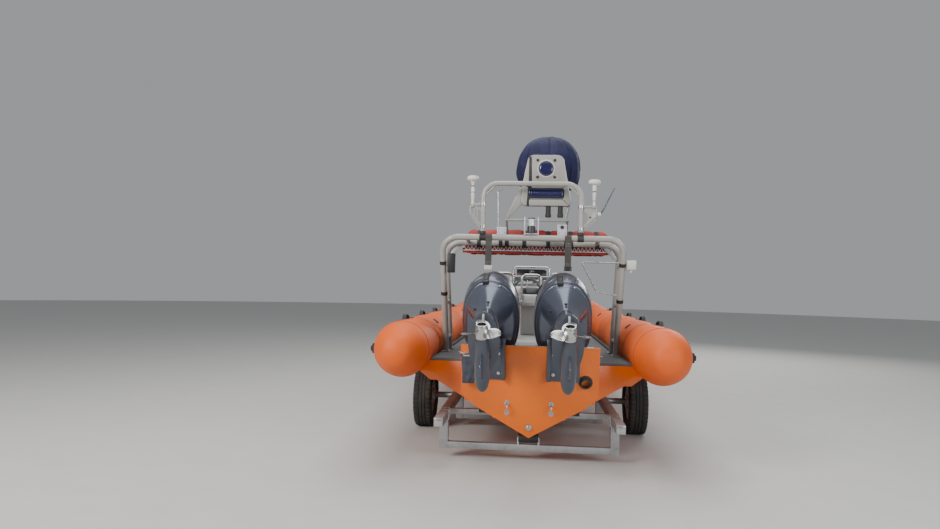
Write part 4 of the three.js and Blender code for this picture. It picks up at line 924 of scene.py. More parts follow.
aerials = {
    # side: x, foot, crown, outline of the stem, rubber rings as radius, low, high
    "port": (-0.586, 2.4394, 2.712,
             [(0.0125, 2.452), (0.0125, 2.474), (0.017, 2.492), (0.0185, 2.545), (0.0185, 2.603),
              (0.0125, 2.607), (0.0125, 2.616), (0.0215, 2.654)],
             [(0.0145, 2.607, 2.616), (0.0191, 2.547, 2.554)]),
    "starboard": (0.584, 2.4344, 2.683,
                  [(0.012, 2.446), (0.012, 2.478), (0.015, 2.484), (0.0175, 2.56), (0.014, 2.562),
                   (0.014, 2.57), (0.019, 2.572), (0.019, 2.626)],
                  [(0.0158, 2.562, 2.57), (0.0136, 2.476, 2.481)]),
}
cap = [(0.036, 0.05), (0.052, 0.043), (0.0565, 0.036), (0.057, 0.017), (0.052, 0.007),
       (0.04, 0.002), (0.02, 0), (0, 0)]
for side, (x, low, crown, stem, ring_table) in aerials.items():
    bench, rings = benches(2)
    profile = [(0, low), (0.0165, low), (0.0165, low + 0.008), *stem]
    profile += [(r, crown - z) for r, z in cap]
    turned(bench, profile, on_mast(x, 0), sides=40)
    for r, z, z2 in ring_table:
        clamp(rings, r - 0.003, r, (z2 - z) / 2, on_mast(x, (z + z2) / 2), sides=32)
    piece(bench, f"aerial_{side}_shape", "aerial_white", instead_of=f"aerial_{side}")
    piece(rings, f"aerial_{side}_rings", "black_rubber")
bench, dark = benches(2)
root = on_mast(0.664, 2.382)
rod(bench, on_mast(0.6185, 2.35), on_mast(0.648, 2.35), 0.018, edge=0.003)
rod(dark, on_mast(0.64, 2.35), root, 0.0075, sides=14)
rod(dark, root, on_mast(0.777, 2.607), 0.0085, 0.0045, 14, 0.001)
piece(bench, "whip_knob", "aerial_white", instead_of="aerial_whip")
piece(dark, "whip_rod", "casting_grey")
print("mast width", round(right - left, 3))

# %% [markdown]
# The righting bag is a long roll of red fabric, lashed to the front of the forward hoop and
# inflated if the boat is upside down. A roll of cloth is a cylinder that has been pulled in
# by its lashings, with creases that run along it. Rings are laid out with circle operators
# and joined, then the skin is pushed in and out by noise, and dented where the hoop presses.

# %% Righting bag
bag = {"x": 0.05, "half": 0.76, "y": 0.898, "z": 2.096, "r": 0.14}
bands = [-0.59, -0.37, -0.13, 0.11, 0.34, 0.6]
hoop_line_yz = (hoop["forward"], hoop["forward_top"])


def bag_radius(x):
    end = min(1.0, (bag["half"] - abs(x)) / 0.115)
    pull = sum(0.016 * math.exp(-((x - band) / 0.03) ** 2) for band in bands)
    return bag["r"] * math.sqrt(max(0.0, 1 - (1 - end) ** 2)) - pull - 0.004


shape, ring, rings_along = bmesh.new(), None, 150
for i in range(rings_along + 1):
    x = -bag["half"] + 2 * bag["half"] * i / rings_along
    radius = max(bag_radius(x), 0.004)
    made = bmesh.ops.create_circle(shape, segments=64, radius=radius)["verts"]
    place = Matrix.Translation(at(bag["x"] + x, bag["y"], bag["z"]))
    bmesh.ops.transform(shape, matrix=place @ Matrix.Rotation(math.pi / 2, 4, "Y"), verts=made)
    edges = list({e for v in made for e in v.link_edges})
    if ring:
        bmesh.ops.bridge_loops(shape, edges=ring + edges)
    else:
        bmesh.ops.contextual_create(shape, geom=edges)
    ring = edges
bmesh.ops.contextual_create(shape, geom=ring)
bmesh.ops.recalc_face_normals(shape, faces=shape.faces)
for v in shape.verts:
    local = v.co - at(bag["x"], bag["y"], bag["z"])
    along = noise.noise(Vector((local.x * 2.2, local.y * 16, local.z * 16)))
    wrinkle = noise.noise(Vector((local.x * 9 + 7, local.y * 9, local.z * 9)))
    out = Vector((0, local.y, local.z))
    if out.length > 0.01:
        v.co += out.normalized() * (0.01 * along + 0.004 * wrinkle - 0.005)
    hoop_line = at(v.co.x, *hoop_line_yz)
    away = v.co - hoop_line
    if away.length < hoop["r"] + 0.003:
        v.co = hoop_line + away.normalized() * (hoop["r"] + 0.003)
bag_piece = piece(shape, "righting_bag_roll", "bag_red_with_painted_shade", angle=80, instead_of="righting_bag")
print("bag length", 2 * bag["half"])

# %% [markdown]
# Lashings hold the bag. Flat black bands go round the bag and the hoop together, like a belt
# round two wheels, so each band is the outline drawn round two circles. Below the hoop a
# thin line zigzags between the bag's hem and the tube, which shows from astern as a row of
# small diagonal stitches.

# %% Bag lashings
bench, lacing, hem = benches(3)
for band in bands:
    cloud = []
    for y, z, reach in ((bag["y"], bag["z"], bag_radius(band) + 0.006),
                        (*hoop_line_yz, hoop["r"] + 0.003)):
        cloud += [Vector((y, z)) + Vector(polar(reach, a)) for a in turns(48)]
    path = [at(bag["x"] + band, *cloud[i]) for i in geometry.convex_hull_2d(cloud)]
    sweep(bench, strip(0.0012, 0.019), path + path[:1], ACROSS)
hem_y, hem_z = 0.766, 2.004
under_tube = (hoop["forward"] + 0.008, hoop["forward_top"] - hoop["r"] - 0.002)
for i in range(38):
    x = -0.67 + i * 0.0385
    for lean in (0.019, -0.019):
        rod(lacing, at(x, hem_y - 0.01, hem_z), at(x + lean, *under_tube), 0.0028, sides=6)
rod(lacing, at(-0.7, hem_y - 0.012, hem_z), at(0.78, hem_y - 0.012, hem_z), 0.005, sides=10)
hem_line = [at(-0.71 + i * 0.02, hem_y + 0.006 + 0.004 * math.sin(i * 1.9),
               hem_z - 0.004 + 0.004 * math.sin(i * 1.3)) for i in range(76)]
sweep(hem, oblong(-0.004, -0.024, 0.004, 0.026), hem_line)
piece(bench, "bag_bands", "webbing_black")
piece(lacing, "bag_lacing", "tape_silver")
piece(hem, "bag_hem", "bag_red_with_painted_shade")
print("lashings", len(bands))

# %% [markdown]
# The engines are held up by two webbing straps. Each one goes round the aft hoop, is sewn to
# itself, hangs down aft of the tube and ends in a plastic buckle above the cowling, a pale
# one to port and a dark one to starboard. A webbing strap is a thin strip swept along its
# path, and the stitching is a few short threads across it.

# %% Engine straps
strap = {"half": 0.031, "inner": 0.0315, "thick": 0.0034, "low": 1.8}
reach, w, low = strap["inner"] + strap["thick"] / 2, strap["half"], strap["low"]
aft_face = hoop["aft"] - reach
threads = bmesh.new()
for side, x, buckle_finish in (("port", -0.419, "buckle_pale"),
                               ("starboard", 0.343, "engine_black")):
    bench, buckle = benches(2)
    centre = at(x, hoop["aft"], hoop["top"])
    path = [centre + Vector((0, *polar(reach, math.radians(180 - d)))) for d in range(305, -1, -12)]
    path += [at(x, aft_face - 0.001 * math.sin(i), hoop["top"] - 0.31 * i / 6) for i in range(1, 6)]
    path.append(at(x, aft_face, low + 0.028))
    sweep(bench, strip(strap["thick"] / 2, w), path, ACROSS)
    tab = at(x, aft_face, 2.03)
    block_by(bench, tab, (0.001 - w, -0.001, 0), (w - 0.001, 0.0048, 0.04), 0.001)
    for z in (1.85, 1.862, 1.874, 2.036, 2.05, 2.064):
        for i in range(11):
            stitch = at(x - w + 0.006 + i * 0.005, aft_face - 0.0026, z)
            rod(threads, stitch, stitch + Vector((0.003, 0, 0)), 0.0006, sides=5)
    piece(bench, f"engine_strap_{side}", "webbing_grey", instead_of=f"strap_{side}")
    middle, wide = at(x, aft_face, low), w + 0.005
    for dx in (-wide, wide - 0.008):
        block_by(buckle, middle, (dx, -0.006, 0), (dx + 0.008, 0.005, 0.042), 0.002)
    for dz in (0, 0.017, 0.034):
        block_by(buckle, middle, (-wide, -0.0055, dz), (wide, 0.0045, dz + 0.008), 0.002)
    block_by(buckle, middle, (0.006 - w, -0.004, 0.006), (w - 0.006, 0.003, 0.036), 0.002)
    piece(buckle, f"strap_buckle_{side}", buckle_finish)
piece(threads, "strap_stitching", "tape_silver")
print("strap drop", round(hoop["top"] - low, 3))

# %% [markdown]
# The scanner tower is a moulded housing with rounded shoulders. It stands on a cross bar, on
# a tapered strut to port and a thin rod to starboard, with two rubber feet between them, and
# it carries a round blue lamp in a ring with four dark bolts, and a long blue lamp with
# rounded ends over a pale kick strip. Its edges get a wide bevel. A thin rod with a hook
# rises from the port plate of the hoop beside it.

# %% Scanner tower
tower = {"x": 0.139, "y": 0.52, "deep": 0.06, "low": 2.438, "high": 2.946}
tx, ty, cross_z = tower["x"], tower["y"], 2.3
lamp = at(0.123, ty - 0.001, 2.807)
bench, dark, steel, ring, glass = benches(5)


def on_tower(x, z, ahead=0.025):
    return at(tx + x, ty + ahead, z)


def panel(bench, outline, radius, thick, edge, ahead=0.0):
    outline = eased(outline, radius) if radius else outline
    plate(bench, outline, thick, facing_aft(tx, ty + ahead, tower["low"]), edge)


shell = [(-0.262, 0), (0.24, 0), (0.205, 0.2), (0.15, 0.508), (-0.19, 0.508), (-0.25, 0.2)]
panel(bench, shell, 0.062, tower["deep"], 0.01, tower["deep"])
face = [(-0.14, 0.19), (0.172, 0.19), (0.132, 0.49), (-0.15, 0.49)]
panel(bench, face, 0.03, 0.006, 0.0025, 0.001)
# a thin black sheet on the housing's face paints the shade in the gap beside the face panel
gap_shade_sheet = [(-0.204, 0), (-0.176, 0), (-0.152, 0.24), (-0.16, 0.49), (-0.184, 0.49), (-0.186, 0.24)]
panel(dark, gap_shade_sheet, 0, 0.0016, 0.0006)
for target, section in (
    (ring, [(0.074, -0.002), (0.074, 0.006), (0.077, 0.0095), (0.085, 0.0095), (0.089, 0.006),
            (0.089, -0.002)]),
    (dark, [(0.0655, -0.002), (0.0655, 0.0075), (0.0745, 0.0075), (0.0745, -0.002)]),
    (glass, [(0, 0.0095), (0.03, 0.009), (0.054, 0.0075), (0.063, 0.0055), (0.0662, 0.001),
             (0.0662, -0.01), (0, -0.01)]),
):
    turned(target, section, lamp, AFT, 48)
piece(ring, "tower_lamp_ring", "lilac_plate")
for a in turns(4, 45):
    dx, dz = polar(0.118, a)
    bolt(dark, lamp + Vector((dx, -0.004, dz)), AFT, 0.01, 0.004)
# a flat black plate round the light bar paints the shade of its recess
panel(dark, [(-0.194, 0.074), (0.166, 0.074), (0.162, 0.18), (-0.19, 0.18)], 0.026, 0.0025, 0.0008)
kick = [(-0.178, 0.004), (0.212, 0.004), (0.15, 0.062), (-0.178, 0.062)]
panel(dark, [(x * 1.03, z * 1.12 - 0.001) for x, z in kick], 0.012, 0.0025, 0.0008)
panel(bench, kick, 0.01, 0.014, 0.003, 0.001)
for x in (0.012, 0.13):
    rod(dark, on_tower(x, tower["low"] + 0.01), on_tower(x, 2.345), 0.025, sides=24, edge=0.003)
    rod(dark, on_tower(x, 2.366), on_tower(x, 2.33), 0.029, sides=24, edge=0.003)
leg = [(-0.212, 0.2), (-0.268, 0.19), (-0.414, -0.132), (-0.388, -0.138), (-0.24, 0.03)]
panel(bench, leg, 0, 0.022, 0.006, 0.036)
bead(bench, on_tower(-0.4, 2.31), (0.14, 0, 0.32), 0.014, 0.003)
rod(bench, on_tower(0.215, 2.458), on_tower(0.18, cross_z), 0.013)
bead(bench, on_tower(0.18, 2.31), (0.035, 0, 0.158), 0.013, 0.003)
rod(bench, on_tower(-0.415, cross_z), on_tower(0.215, cross_z), 0.012, edge=0.003)
for x in (-0.06, 0.3):
    rod(bench, at(x, ty + 0.005, top), on_mast(x, top, mast["r"] + 0.001), 0.014)
    bead(bench, on_mast(x, top, mast["r"] + 0.002), AHEAD, 0.014, 0.003)
for x in (-0.395, 0.2):
    stay_path = [on_tower(x, cross_z), at(tx + x, hoop["forward"] + 0.015, 2.152),
                 at(tx + x, hoop["forward"] + 0.002, hoop["forward_top"] + 0.028)]
    pipe(bench, stay_path, 0.012, 0.03, ACROSS, 16)
    clamp(dark, *hoop_band, 0.02, at(tx + x, *hoop_line_yz), ACROSS)
hook = at(-0.332, hoop["aft"] + 0.0085, pad_z)
hook_top = [at(x, hoop["aft"] + 0.0085, z) for x, z in ((-0.34, 2.56), (-0.288, 2.586))]
pipe(steel, [hook + Vector((0, 0, 0.012)), *hook_top], 0.0045, 0.012, AHEAD, 12)
for z in (0.022, 0.054):
    block_by(steel, hook, (-0.008, -0.005, z), (0.008, 0.0058, z + 0.008), 0.0012)

cover = {"x": 0.154, "y": 1.0, "low": 2.67, "high": 3.23, "r": 0.35}
under, back = at(cover["x"], cover["y"], cover["low"]), ty + tower["deep"] - 0.005
block(bench, at(tx - 0.12, back, cover["low"] - 0.04),
      at(tx + 0.15, cover["y"] + 0.14, cover["low"] - 0.016), 0.004)
web = [(back, -0.17), (back + 0.035, -0.17), (cover["y"], -0.03), (back, -0.03)]
for x in (-0.1, 0.115):
    plate(bench, web, 0.014, facing_side(tx + x, 0, cover["low"]))
turned(bench, [(0, -0.02), (0.12, -0.02), (0.12, -0.004), (0.114, -0.0008), (0, -0.0008)], under,
       sides=40)
for a in turns(4, 45):
    bolt(steel, under + Vector((*polar(0.1, a), -0.04)), (0, 0, -1), 0.007, 0.006)
piece(bench, "tower_shape", "grey_plate", angle=35, instead_of="scanner_tower")
# rubber feet, clamps, lamp trim and bolts, with the flat black sheets of painted shade in the gap
# and round the light bar
piece(dark, "tower_rubber_and_shade_sheets", "black_rubber")
piece(steel, "tower_bolts_and_rod", "stainless")

for r in (0.02, 0.036, 0.051):
    ridge = [(r - 0.003, 0.005), (r, 0.0112 - r * 0.03), (r + 0.003, 0.005), (r - 0.003, 0.005)]
    turned(glass, ridge, lamp, AFT, 48)
piece(glass, "tower_lamp_lens", "lens_blue_with_painted_shade", angle=60, instead_of="tower_lamp")
glass = bmesh.new()
bar = eased(oblong(-0.04, 2.5245, 0.29, 2.6015), 0.03)
plate(glass, bar, 0.014, facing_aft(0, ty + 0.002, 0), 0.005)
for i in range(11):
    x = -0.02 + i * 0.029
    block(glass, at(x, ty - 0.0135, 2.534), at(x + 0.004, ty - 0.01, 2.592), 0.0012)
piece(glass, "light_bar_lens", "lens_blue_with_painted_shade", instead_of="light_bar")
print("tower height", round(tower["high"] - tower["low"], 3))

# %% [markdown]
# The scanner turns under a sewn cover of blue cloth. A cover has gores, like an orange
# peel, that are pulled in by a drawstring at the bottom. It is one open shell of cloth: the
# gores make shallow ridges between the seams, the top sags a little, creases run down from
# the crown, and the rim turns in under the drawstring. Cloth has a thickness, so a solidify
# modifier thickens the shell.

# %% Scanner cover
cover_profile = [(0.6, 0.004), (0.72, 0), (0.84, 0.04), (0.94, 0.14), (0.99, 0.26), (1, 0.38),
                 (0.975, 0.52), (0.91, 0.66), (0.79, 0.79), (0.62, 0.89), (0.4, 0.96), (0.2, 0.99),
                 (0, 1)]


def smooth(points, steps, loop=False):
    result, last = [], len(points) - 1
    for i in range(last + loop):
        near = [(i + k) % (last + 1) if loop else max(0, min(last, i + k)) for k in (-1, 0, 1, 2)]
        for step in range(steps):
            t = step / steps
            weights = (-t + 2 * t * t - t ** 3, 2 - 5 * t * t + 3 * t ** 3,
                       t + 4 * t * t - 3 * t ** 3, t ** 3 - t * t)
            columns = zip(*[points[k] for k in near])
            result.append(tuple(sum(w * q for w, q in zip(weights, c)) / 2 for c in columns))
    return result if loop else result + [tuple(points[-1])]


def thicken(made, thickness):
    cloth = made.modifiers.new("cloth", "SOLIDIFY")
    cloth.thickness, cloth.offset = thickness, -1.0


height, cloth_r, gores = cover["high"] - cover["low"], cover["r"] - 0.008, 8
line = smooth(cover_profile, 5)
shape = spun([(max(r, 0) * cloth_r, h * (height - 0.004)) for r, h in line], 112)
for v in shape.verts:
    flat = Vector((v.co.x, v.co.y, 0))
    if flat.length < 0.004:
        v.co.z -= 0.006
        continue
    angle, up_share = math.atan2(v.co.y, v.co.x), v.co.z / height
    gore = abs(math.sin(gores * angle / 2)) ** 0.6
    crease = noise.noise(Vector((*polar(3.2, angle), v.co.z * 5)))
    fine = noise.noise(Vector((*polar(11, angle), v.co.z * 6 + 3)))
    fold = noise.noise(Vector((angle * 2.4 + 4, v.co.z * 17 + angle * 2, 1.5)))
    gather = math.cos(angle * 44) * 0.006 * max(0.0, 1 - up_share / 0.1)
    out = 0.007 * (gore - 1) + 0.016 * crease + 0.007 * fine + 0.009 * fold * (1 - up_share)
    v.co += flat.normalized() * (out + gather - 0.008) * min(1.0, flat.length / 0.15)
    v.co.z -= 0.01 * (1 - gore) * up_share + 0.006 * abs(fold)
bmesh.ops.transform(shape, verts=shape.verts, matrix=Matrix.Translation(under))
cloth_area = sum(f.calc_area() for f in shape.faces)
cover_piece = piece(shape, "scanner_cover_cloth", "cover_navy_with_painted_shade", angle=80,
                    instead_of="scanner_cover")
thicken(cover_piece, 0.003)
bench = bmesh.new()
for angle in turns(gores):
    seam = [under + Vector((*polar(r * cloth_r - 0.013, angle), h * (height - 0.004) - 0.01 * h))
            for r, h in line[6:-2:3]]
    sweep(bench, ring_of(0.0035, 8), seam, (math.sin(angle), -math.cos(angle), 0))
piece(bench, "cover_seams", "cover_navy_with_painted_shade", angle=60)
print("cover cloth", round(cloth_area, 3), "m2")

# %% [markdown]
# The two engines are the same, so one set of functions makes both. Each works in the
# engine's own frame: x to starboard, y forward and z up along the leg, with the tilt tube at
# the origin. Engine castings are lofts: one outline seen from above, drawn at several
# heights with its own length and width. Smooth curves through the drawn points give a
# rounded shape where the solid has flats.


# %% Smooth lofts
def loft(bench, rings):
    shape, last = bmesh.new(), None
    for ring in rings:
        edges = closed(shape, [shape.verts.new(p) for p in ring])
        if last:
            bmesh.ops.bridge_loops(shape, edges=last + edges)
        else:
            bmesh.ops.contextual_create(shape, geom=edges)
        last = edges
    bmesh.ops.contextual_create(shape, geom=last)
    bmesh.ops.recalc_face_normals(shape, faces=shape.faces)
    pour(bench, shape)


arch = [(0, 1), (0.42, 0.955), (0.75, 0.83), (0.93, 0.66), (1, 0.44), (0.97, 0.2), (0.82, 0.03),
        (0.45, 0)]
apron = [(0, 1), (0.45, 0.93), (0.8, 0.78), (0.97, 0.6), (1, 0.45), (0.9, 0.25), (0.62, 0.08),
         (0.3, 0)]
strut = [(0, 1), (0.3, 0.92), (0.62, 0.78), (0.88, 0.6), (1, 0.38), (0.93, 0.14), (0.7, 0.02),
         (0.35, 0)]


def engine_ring(up, front, rear, half, outline, grow=0.0):
    points = [((half + grow) * x, front - grow + (rear - front + 2 * grow) * a) for x, a in outline]
    loop = smooth(points + [(-x, a) for x, a in reversed(points[1:])], 4, True)
    return [(x, -a, up) for x, a in loop]


def table_rings(rows, outline):
    return [engine_ring(*row, outline) for row in smooth(rows, 4)]


def row_at(rows, up):
    for low, high in zip(rows, rows[1:]):
        if min(low[0], high[0]) <= up <= max(low[0], high[0]):
            t = (up - low[0]) / (high[0] - low[0])
            return tuple(a + (b - a) * t for a, b in zip(low, high))
    return rows[-1]


engine_x = {"port": -0.365, "starboard": 0.295}
tilt_y, tilt_z, raised, shaft_z = -0.1, 1.15, -68, -0.83


def engine_frame(side):
    tilt = Matrix.Rotation(math.radians(raised), 4, "X")
    return Matrix.Translation(at(engine_x[side], tilt_y, tilt_z)) @ tilt


print("engine axis height", tilt_z)

# %% [markdown]
# The cowling is a moulded cover that clips on to a pan, with a black rubber seal between the
# two and a rolled lip on the pan. At the back sits a black latch, on the sides are short
# air louvres, and a shallow belt runs round the cover. Below the pan an apron tapers down
# to the leg, so from astern it reads as two smooth faces that meet in a ridge.

# %% Cowlings
cowl_rows = [
    # up, front, rear, half width
    (0.201, -0.168, 0.5, 0.25), (0.232, -0.176, 0.508, 0.262), (0.34, -0.178, 0.508, 0.264),
    (0.48, -0.158, 0.482, 0.254), (0.6, -0.125, 0.44, 0.23), (0.68, -0.07, 0.385, 0.186),
    (0.712, -0.01, 0.33, 0.13), (0.719, 0.06, 0.26, 0.06),
]
pan_rows = [(0.2, -0.164, 0.496, 0.246), (0.16, -0.152, 0.491, 0.236), (0.134, -0.128, 0.485, 0.22),
            (0.124, -0.104, 0.479, 0.204)]
apron_rows = [(0.128, 0.1, 0.4815, 0.207), (0.11, 0.1, 0.477, 0.196), (0.06, 0.1, 0.463, 0.172),
              (0.0, 0.1, 0.446, 0.146), (-0.08, 0.1, 0.424, 0.116), (-0.18, 0.1, 0.402, 0.092)]
leg_rows = [(-0.176, 0.101, 0.4025, 0.0925), (-0.32, 0.102, 0.386, 0.078),
            (-0.6, 0.114, 0.372, 0.066)]
belt_table = [(0.296, -0.002), (0.3, 0.0028), (0.346, 0.003), (0.35, -0.002)]
seal_table = [(0.1955, 0.001), (0.1975, 0.006), (0.202, 0.006), (0.2035, 0.001)]
lip_table = [(0.18, -0.004), (0.184, 0.0015), (0.19, 0.0038), (0.1945, 0.0015), (0.196, -0.004)]


def pan_rings(table):
    return [engine_ring(up, *pan_rows[0][1:], arch, grow) for up, grow in table]


for side in engine_x:
    place, body = engine_frame(side), f"{side}_cowling"
    cowl, black, leg, steel, zinc = benches(5)
    loft(cowl, table_rings(cowl_rows, arch))
    loft(cowl, [engine_ring(*row_at(cowl_rows, up), arch, grow) for up, grow in belt_table])
    loft(black, pan_rings(seal_table))
    for sign in (-1, 1):
        for up in [0.39 + i * 0.022 for i in range(6)]:
            ring = engine_ring(*row_at(cowl_rows, up), arch, 0.0005)
            louvre = [Vector(ring[(sign * k) % len(ring)]) for k in range(8, 15)]
            pipe(black, louvre, 0.0045, sides=8)
    block(black, (-0.067, -0.514, 0.15), (-0.013, -0.482, 0.338), 0.007, 3)
    block(black, (-0.058, -0.52, 0.19), (-0.022, -0.505, 0.3), 0.006, 3)
    rod(black, (-0.122, -0.316, -0.036), (-0.127, -0.332, -0.042), 0.009, edge=0.002)
    for rings in (table_rings(pan_rows, arch), pan_rings(lip_table), table_rings(apron_rows, apron),
                  table_rings(leg_rows, strut)):
        loft(leg, rings)
    block(leg, (-0.042, -0.15, -0.405), (0.042, 0.015, -0.361), 0.008, 3)
    turned(leg, [(0, 0.104), (0.05, 0.104), (0.05, 0.109), (0.046, 0.112), (0, 0.112)],
           (0, -0.03, 0))
    rod(steel, (0.083, -0.458, 0.152), (0.0847, -0.476, 0.146), 0.007, sides=16, edge=0.0015)
    for up in (-0.185, -0.592):
        ring = engine_ring(*row_at(leg_rows, up), strut, 0.0012)
        loft(steel, [[(x, y, up + dz) for x, y, _ in ring] for dz in (-0.003, 0.003)])
    for sign in (-1, 1):
        for up in (-0.24, -0.4, -0.54):
            _, front, rear, half = row_at(leg_rows, up)
            ends = [(sign * (half + dx), -front - 0.11, up) for dx in (-0.004, 0.003)]
            rod(steel, *ends, 0.008, sides=6, edge=0.001)
        turned(zinc, disc(0.022, 0.02, 0.008, 0.01), (sign * 0.07, -0.23, -0.5), (sign, 0, 0), 24)
    piece(cowl, f"cowl_{side}", "engine_paint", body, 32, f"engine_cowl_{side}", place)
    piece(black, f"cowl_trim_{side}", "engine_black", body, place=place)
    piece(leg, f"leg_{side}", "engine_paint", body, 40, f"engine_leg_{side}", place)
    piece(steel, f"leg_bolts_{side}", "stainless", body, place=place)
    piece(zinc, f"leg_anodes_{side}", "anode_zinc", body, place=place)
print("cowl length", cowl_rows[0][2] - cowl_rows[0][1])

# %% [markdown]
# The gearcase is cast in one piece: a slim strut, a flat cavitation plate over the
# propeller, a small splash plate, a torpedo-shaped bullet and a thin skeg. The plate's edges
# are rounded, water grilles show as dark slots, and a zinc trim tab hangs behind.

# %% Gearcases
case_rows = [(-0.6005, 0.112, 0.372, 0.066), (-0.64, 0.111, 0.376, 0.058),
             (-0.7, 0.11, 0.385, 0.05), (-0.8, 0.07, 0.4, 0.04)]
bullet_profile = [(0, -0.02), (0.012, -0.018), (0.026, -0.008), (0.037, 0.008), (0.046, 0.03),
                  (0.053, 0.058), (0.058, 0.09), (0.06, 0.14), (0.06, 0.26), (0.058, 0.33),
                  (0.054, 0.4), (0.05, 0.444), (0, 0.444)]
skeg = [(0.11, -0.85), (0.35, -0.85), (0.338, -0.88), (0.326, -0.93), (0.306, -1.0), (0.29, -1.016),
        (0.24, -1.019), (0.205, -0.992), (0.15, -0.925), (0.118, -0.88)]
skeg_place = Matrix(((0, 0, 1, -0.008), (-1, 0, 0, 0), (0, 1, 0, 0), (0, 0, 0, 1)))
rounded_edge = [(0, -0.006), (0.25, 0), (0.75, 0), (1, -0.006)]
for side in engine_x:
    place, body = engine_frame(side), f"{side}_cowling"
    bench, black, zinc = benches(3)
    loft(bench, table_rings(case_rows, strut))
    for top, thick, front, rear, half, outline in ((-0.63, 0.013, 0.06, 0.575, 0.126, apron),
                                                   (-0.53, 0.009, 0.085, 0.42, 0.098, strut)):
        loft(bench, [engine_ring(top - thick * share, front, rear, half, outline, grow)
                     for share, grow in rounded_edge])
    turned(bench, bullet_profile, (0, 0, shaft_z), AFT, 40)
    plate(bench, skeg, 0.016, skeg_place, 0.0055)
    for sign in (-1, 1):
        for i in range(5):
            z = -0.69 - i * 0.014
            half = row_at(case_rows, z)[3]
            rod(black, (sign * (half - 0.004), -0.16, z), (sign * (half + 0.0015), -0.225, z),
                0.0035, sides=8)
    rod(black, (0, -0.398, -0.1), (0, -0.428, -0.1), 0.012)
    rod(black, (0, -0.392, -0.14), (0, -0.42, -0.14), 0.008)
    block(zinc, (-0.008, -0.56, -0.7), (0.008, -0.49, -0.64))
    piece(bench, f"gearcase_{side}_shape", "casting_grey", body, 40, f"gearcase_{side}", place)
    piece(black, f"gearcase_slots_{side}", "engine_black", body, place=place)
    piece(zinc, f"trim_tab_{side}", "anode_zinc", body, place=place)
print("skeg depth", -min(z for _, z in skeg))

# %% [markdown]
# A propeller blade is a thin wing wrapped round a screw. Each blade is lofted from sections
# at growing radius: the chord swells and then narrows to the tip, and the twist follows from
# the pitch, so it is steep at the hub and flat at the tip. The pair turns in opposite
# directions. The hub is hollow for the exhaust.

# %% Propellers
hub_r, blade_long, pitch_height, chord_most = 0.044, 0.124, 0.4, 0.135


def blade_rings(hand, degrees):
    rings = []
    for step in range(11):
        t = step / 10
        r = hub_r + blade_long * t
        chord = chord_most * math.sqrt(max(0.02, math.sin(math.pi * (0.2 + 0.8 * t ** 1.25))))
        twist = math.atan2(pitch_height, math.tau * r)
        thick, lean = 0.0055 * (1 - t) + 0.0014, 0.02 * t
        section = []
        for a in turns(16):
            c, n = chord / 2 * math.cos(a), thick * math.sin(a) + 0.006 * math.cos(a) ** 2
            around = (c * math.cos(twist) - n * math.sin(twist)) / r
            aft = 0.498 + c * math.sin(twist) * 0.62 + n * math.cos(twist) + lean - 0.01
            up, across = polar(r, math.radians(degrees) + hand * around)
            section.append((across, -aft, shaft_z + up))
        rings.append(section)
    return rings


hub = [(0.036, 0.446), (0.049, 0.446), (0.05, 0.45), (0.049, 0.52), (0.044, 0.545), (0.04, 0.553),
       (0.0425, 0.557), (0.036, 0.557), (0.034, 0.5), (0.036, 0.446)]
nut = [(0, 0.448), (0.02, 0.448), (0.02, 0.535), (0.014, 0.545), (0, 0.547)]
for side, hand in SIDES:
    place, body = engine_frame(side), f"{side}_propeller"
    bench, black = benches(2)
    turned(bench, hub, (0, 0, shaft_z), AFT, 40)
    turned(black, nut, (0, 0, shaft_z), AFT, 24)
    for degrees in (0, 120, 240):
        loft(bench, blade_rings(hand, degrees))
    for a in turns(3, 60):
        spoke = [(r * math.sin(a), -0.47, shaft_z + r * math.cos(a)) for r in (0.016, 0.038)]
        rod(bench, *spoke, 0.004, sides=10)
    piece(bench, f"propeller_{side}_shape", "stainless", body, 40, f"propeller_{side}", place)
    piece(black, f"propeller_nut_{side}", "engine_black", body, place=place)
print("propeller radius", round(hub_r + blade_long, 3))

# %% [markdown]
# Between engine and hull sit two castings. The clamp bracket is bolted to the transom and
# stays with the boat. The swivel bracket tilts with the engine and carries the steering
# post and the steering ram with its two rubber boots.

# %% Brackets
clamp_bolts = bmesh.new()
ram = Vector((0, 0.034, 0.026))
boot = [(0.0095 + 0.003 * (i % 2), 0.0605 + 0.003 * i) for i in range(5)]
for side in engine_x:
    place, body = engine_frame(side), f"{side}_swivel"
    dressed(f"clamp_bracket_{side}", "casting_grey", edge=0.006)
    bench, black, steel = benches(3)
    rod(bench, (0, -0.03, -0.36), (0, -0.03, 0.109), 0.044, sides=36, edge=0.003)
    rod(bench, (-0.1093, 0, 0), (0.1093, 0, 0), 0.026, sides=32, edge=0.002)
    block(bench, (-0.03, -0.04, -0.3), (0.03, 0.018, 0.01), 0.008, 3)
    for x in (-0.08, 0.08):
        block(bench, (x - 0.01, -0.008, -0.008), (x + 0.01, 0.04, 0.032))
    for z in (-0.26, -0.17, -0.08):
        block(bench, (-0.036, -0.034, z - 0.008), (0.036, 0.014, z + 0.008))
    for target, half, r, sides, edge in ((steel, 0.098, 0.009, 20, 0.001),
                                         (bench, 0.06, 0.0125, 24, 0.002)):
        reach = Vector((half, 0, 0))
        rod(target, ram - reach, ram + reach, r, sides=sides, edge=edge)
    for sign in (-1, 1):
        turned(black, [(0.009, 0.06), *boot, (0.009, 0.0725)], ram, (sign, 0, 0), 20)
        for z in (0.86, 1.04):
            bolt(clamp_bolts, on_transom(engine_x[side] + sign * 0.085, z, 0.0126), off_transom,
                 0.01, 0.01)
    piece(bench, f"swivel_{side}_shape", "casting_grey", body, 38, f"swivel_bracket_{side}", place)
    piece(black, f"steering_boots_{side}", "black_rubber", body, place=place)
    piece(steel, f"steering_rod_{side}", "stainless", body, place=place)
piece(clamp_bolts, "clamp_bolts", "stainless")
print("brackets done")
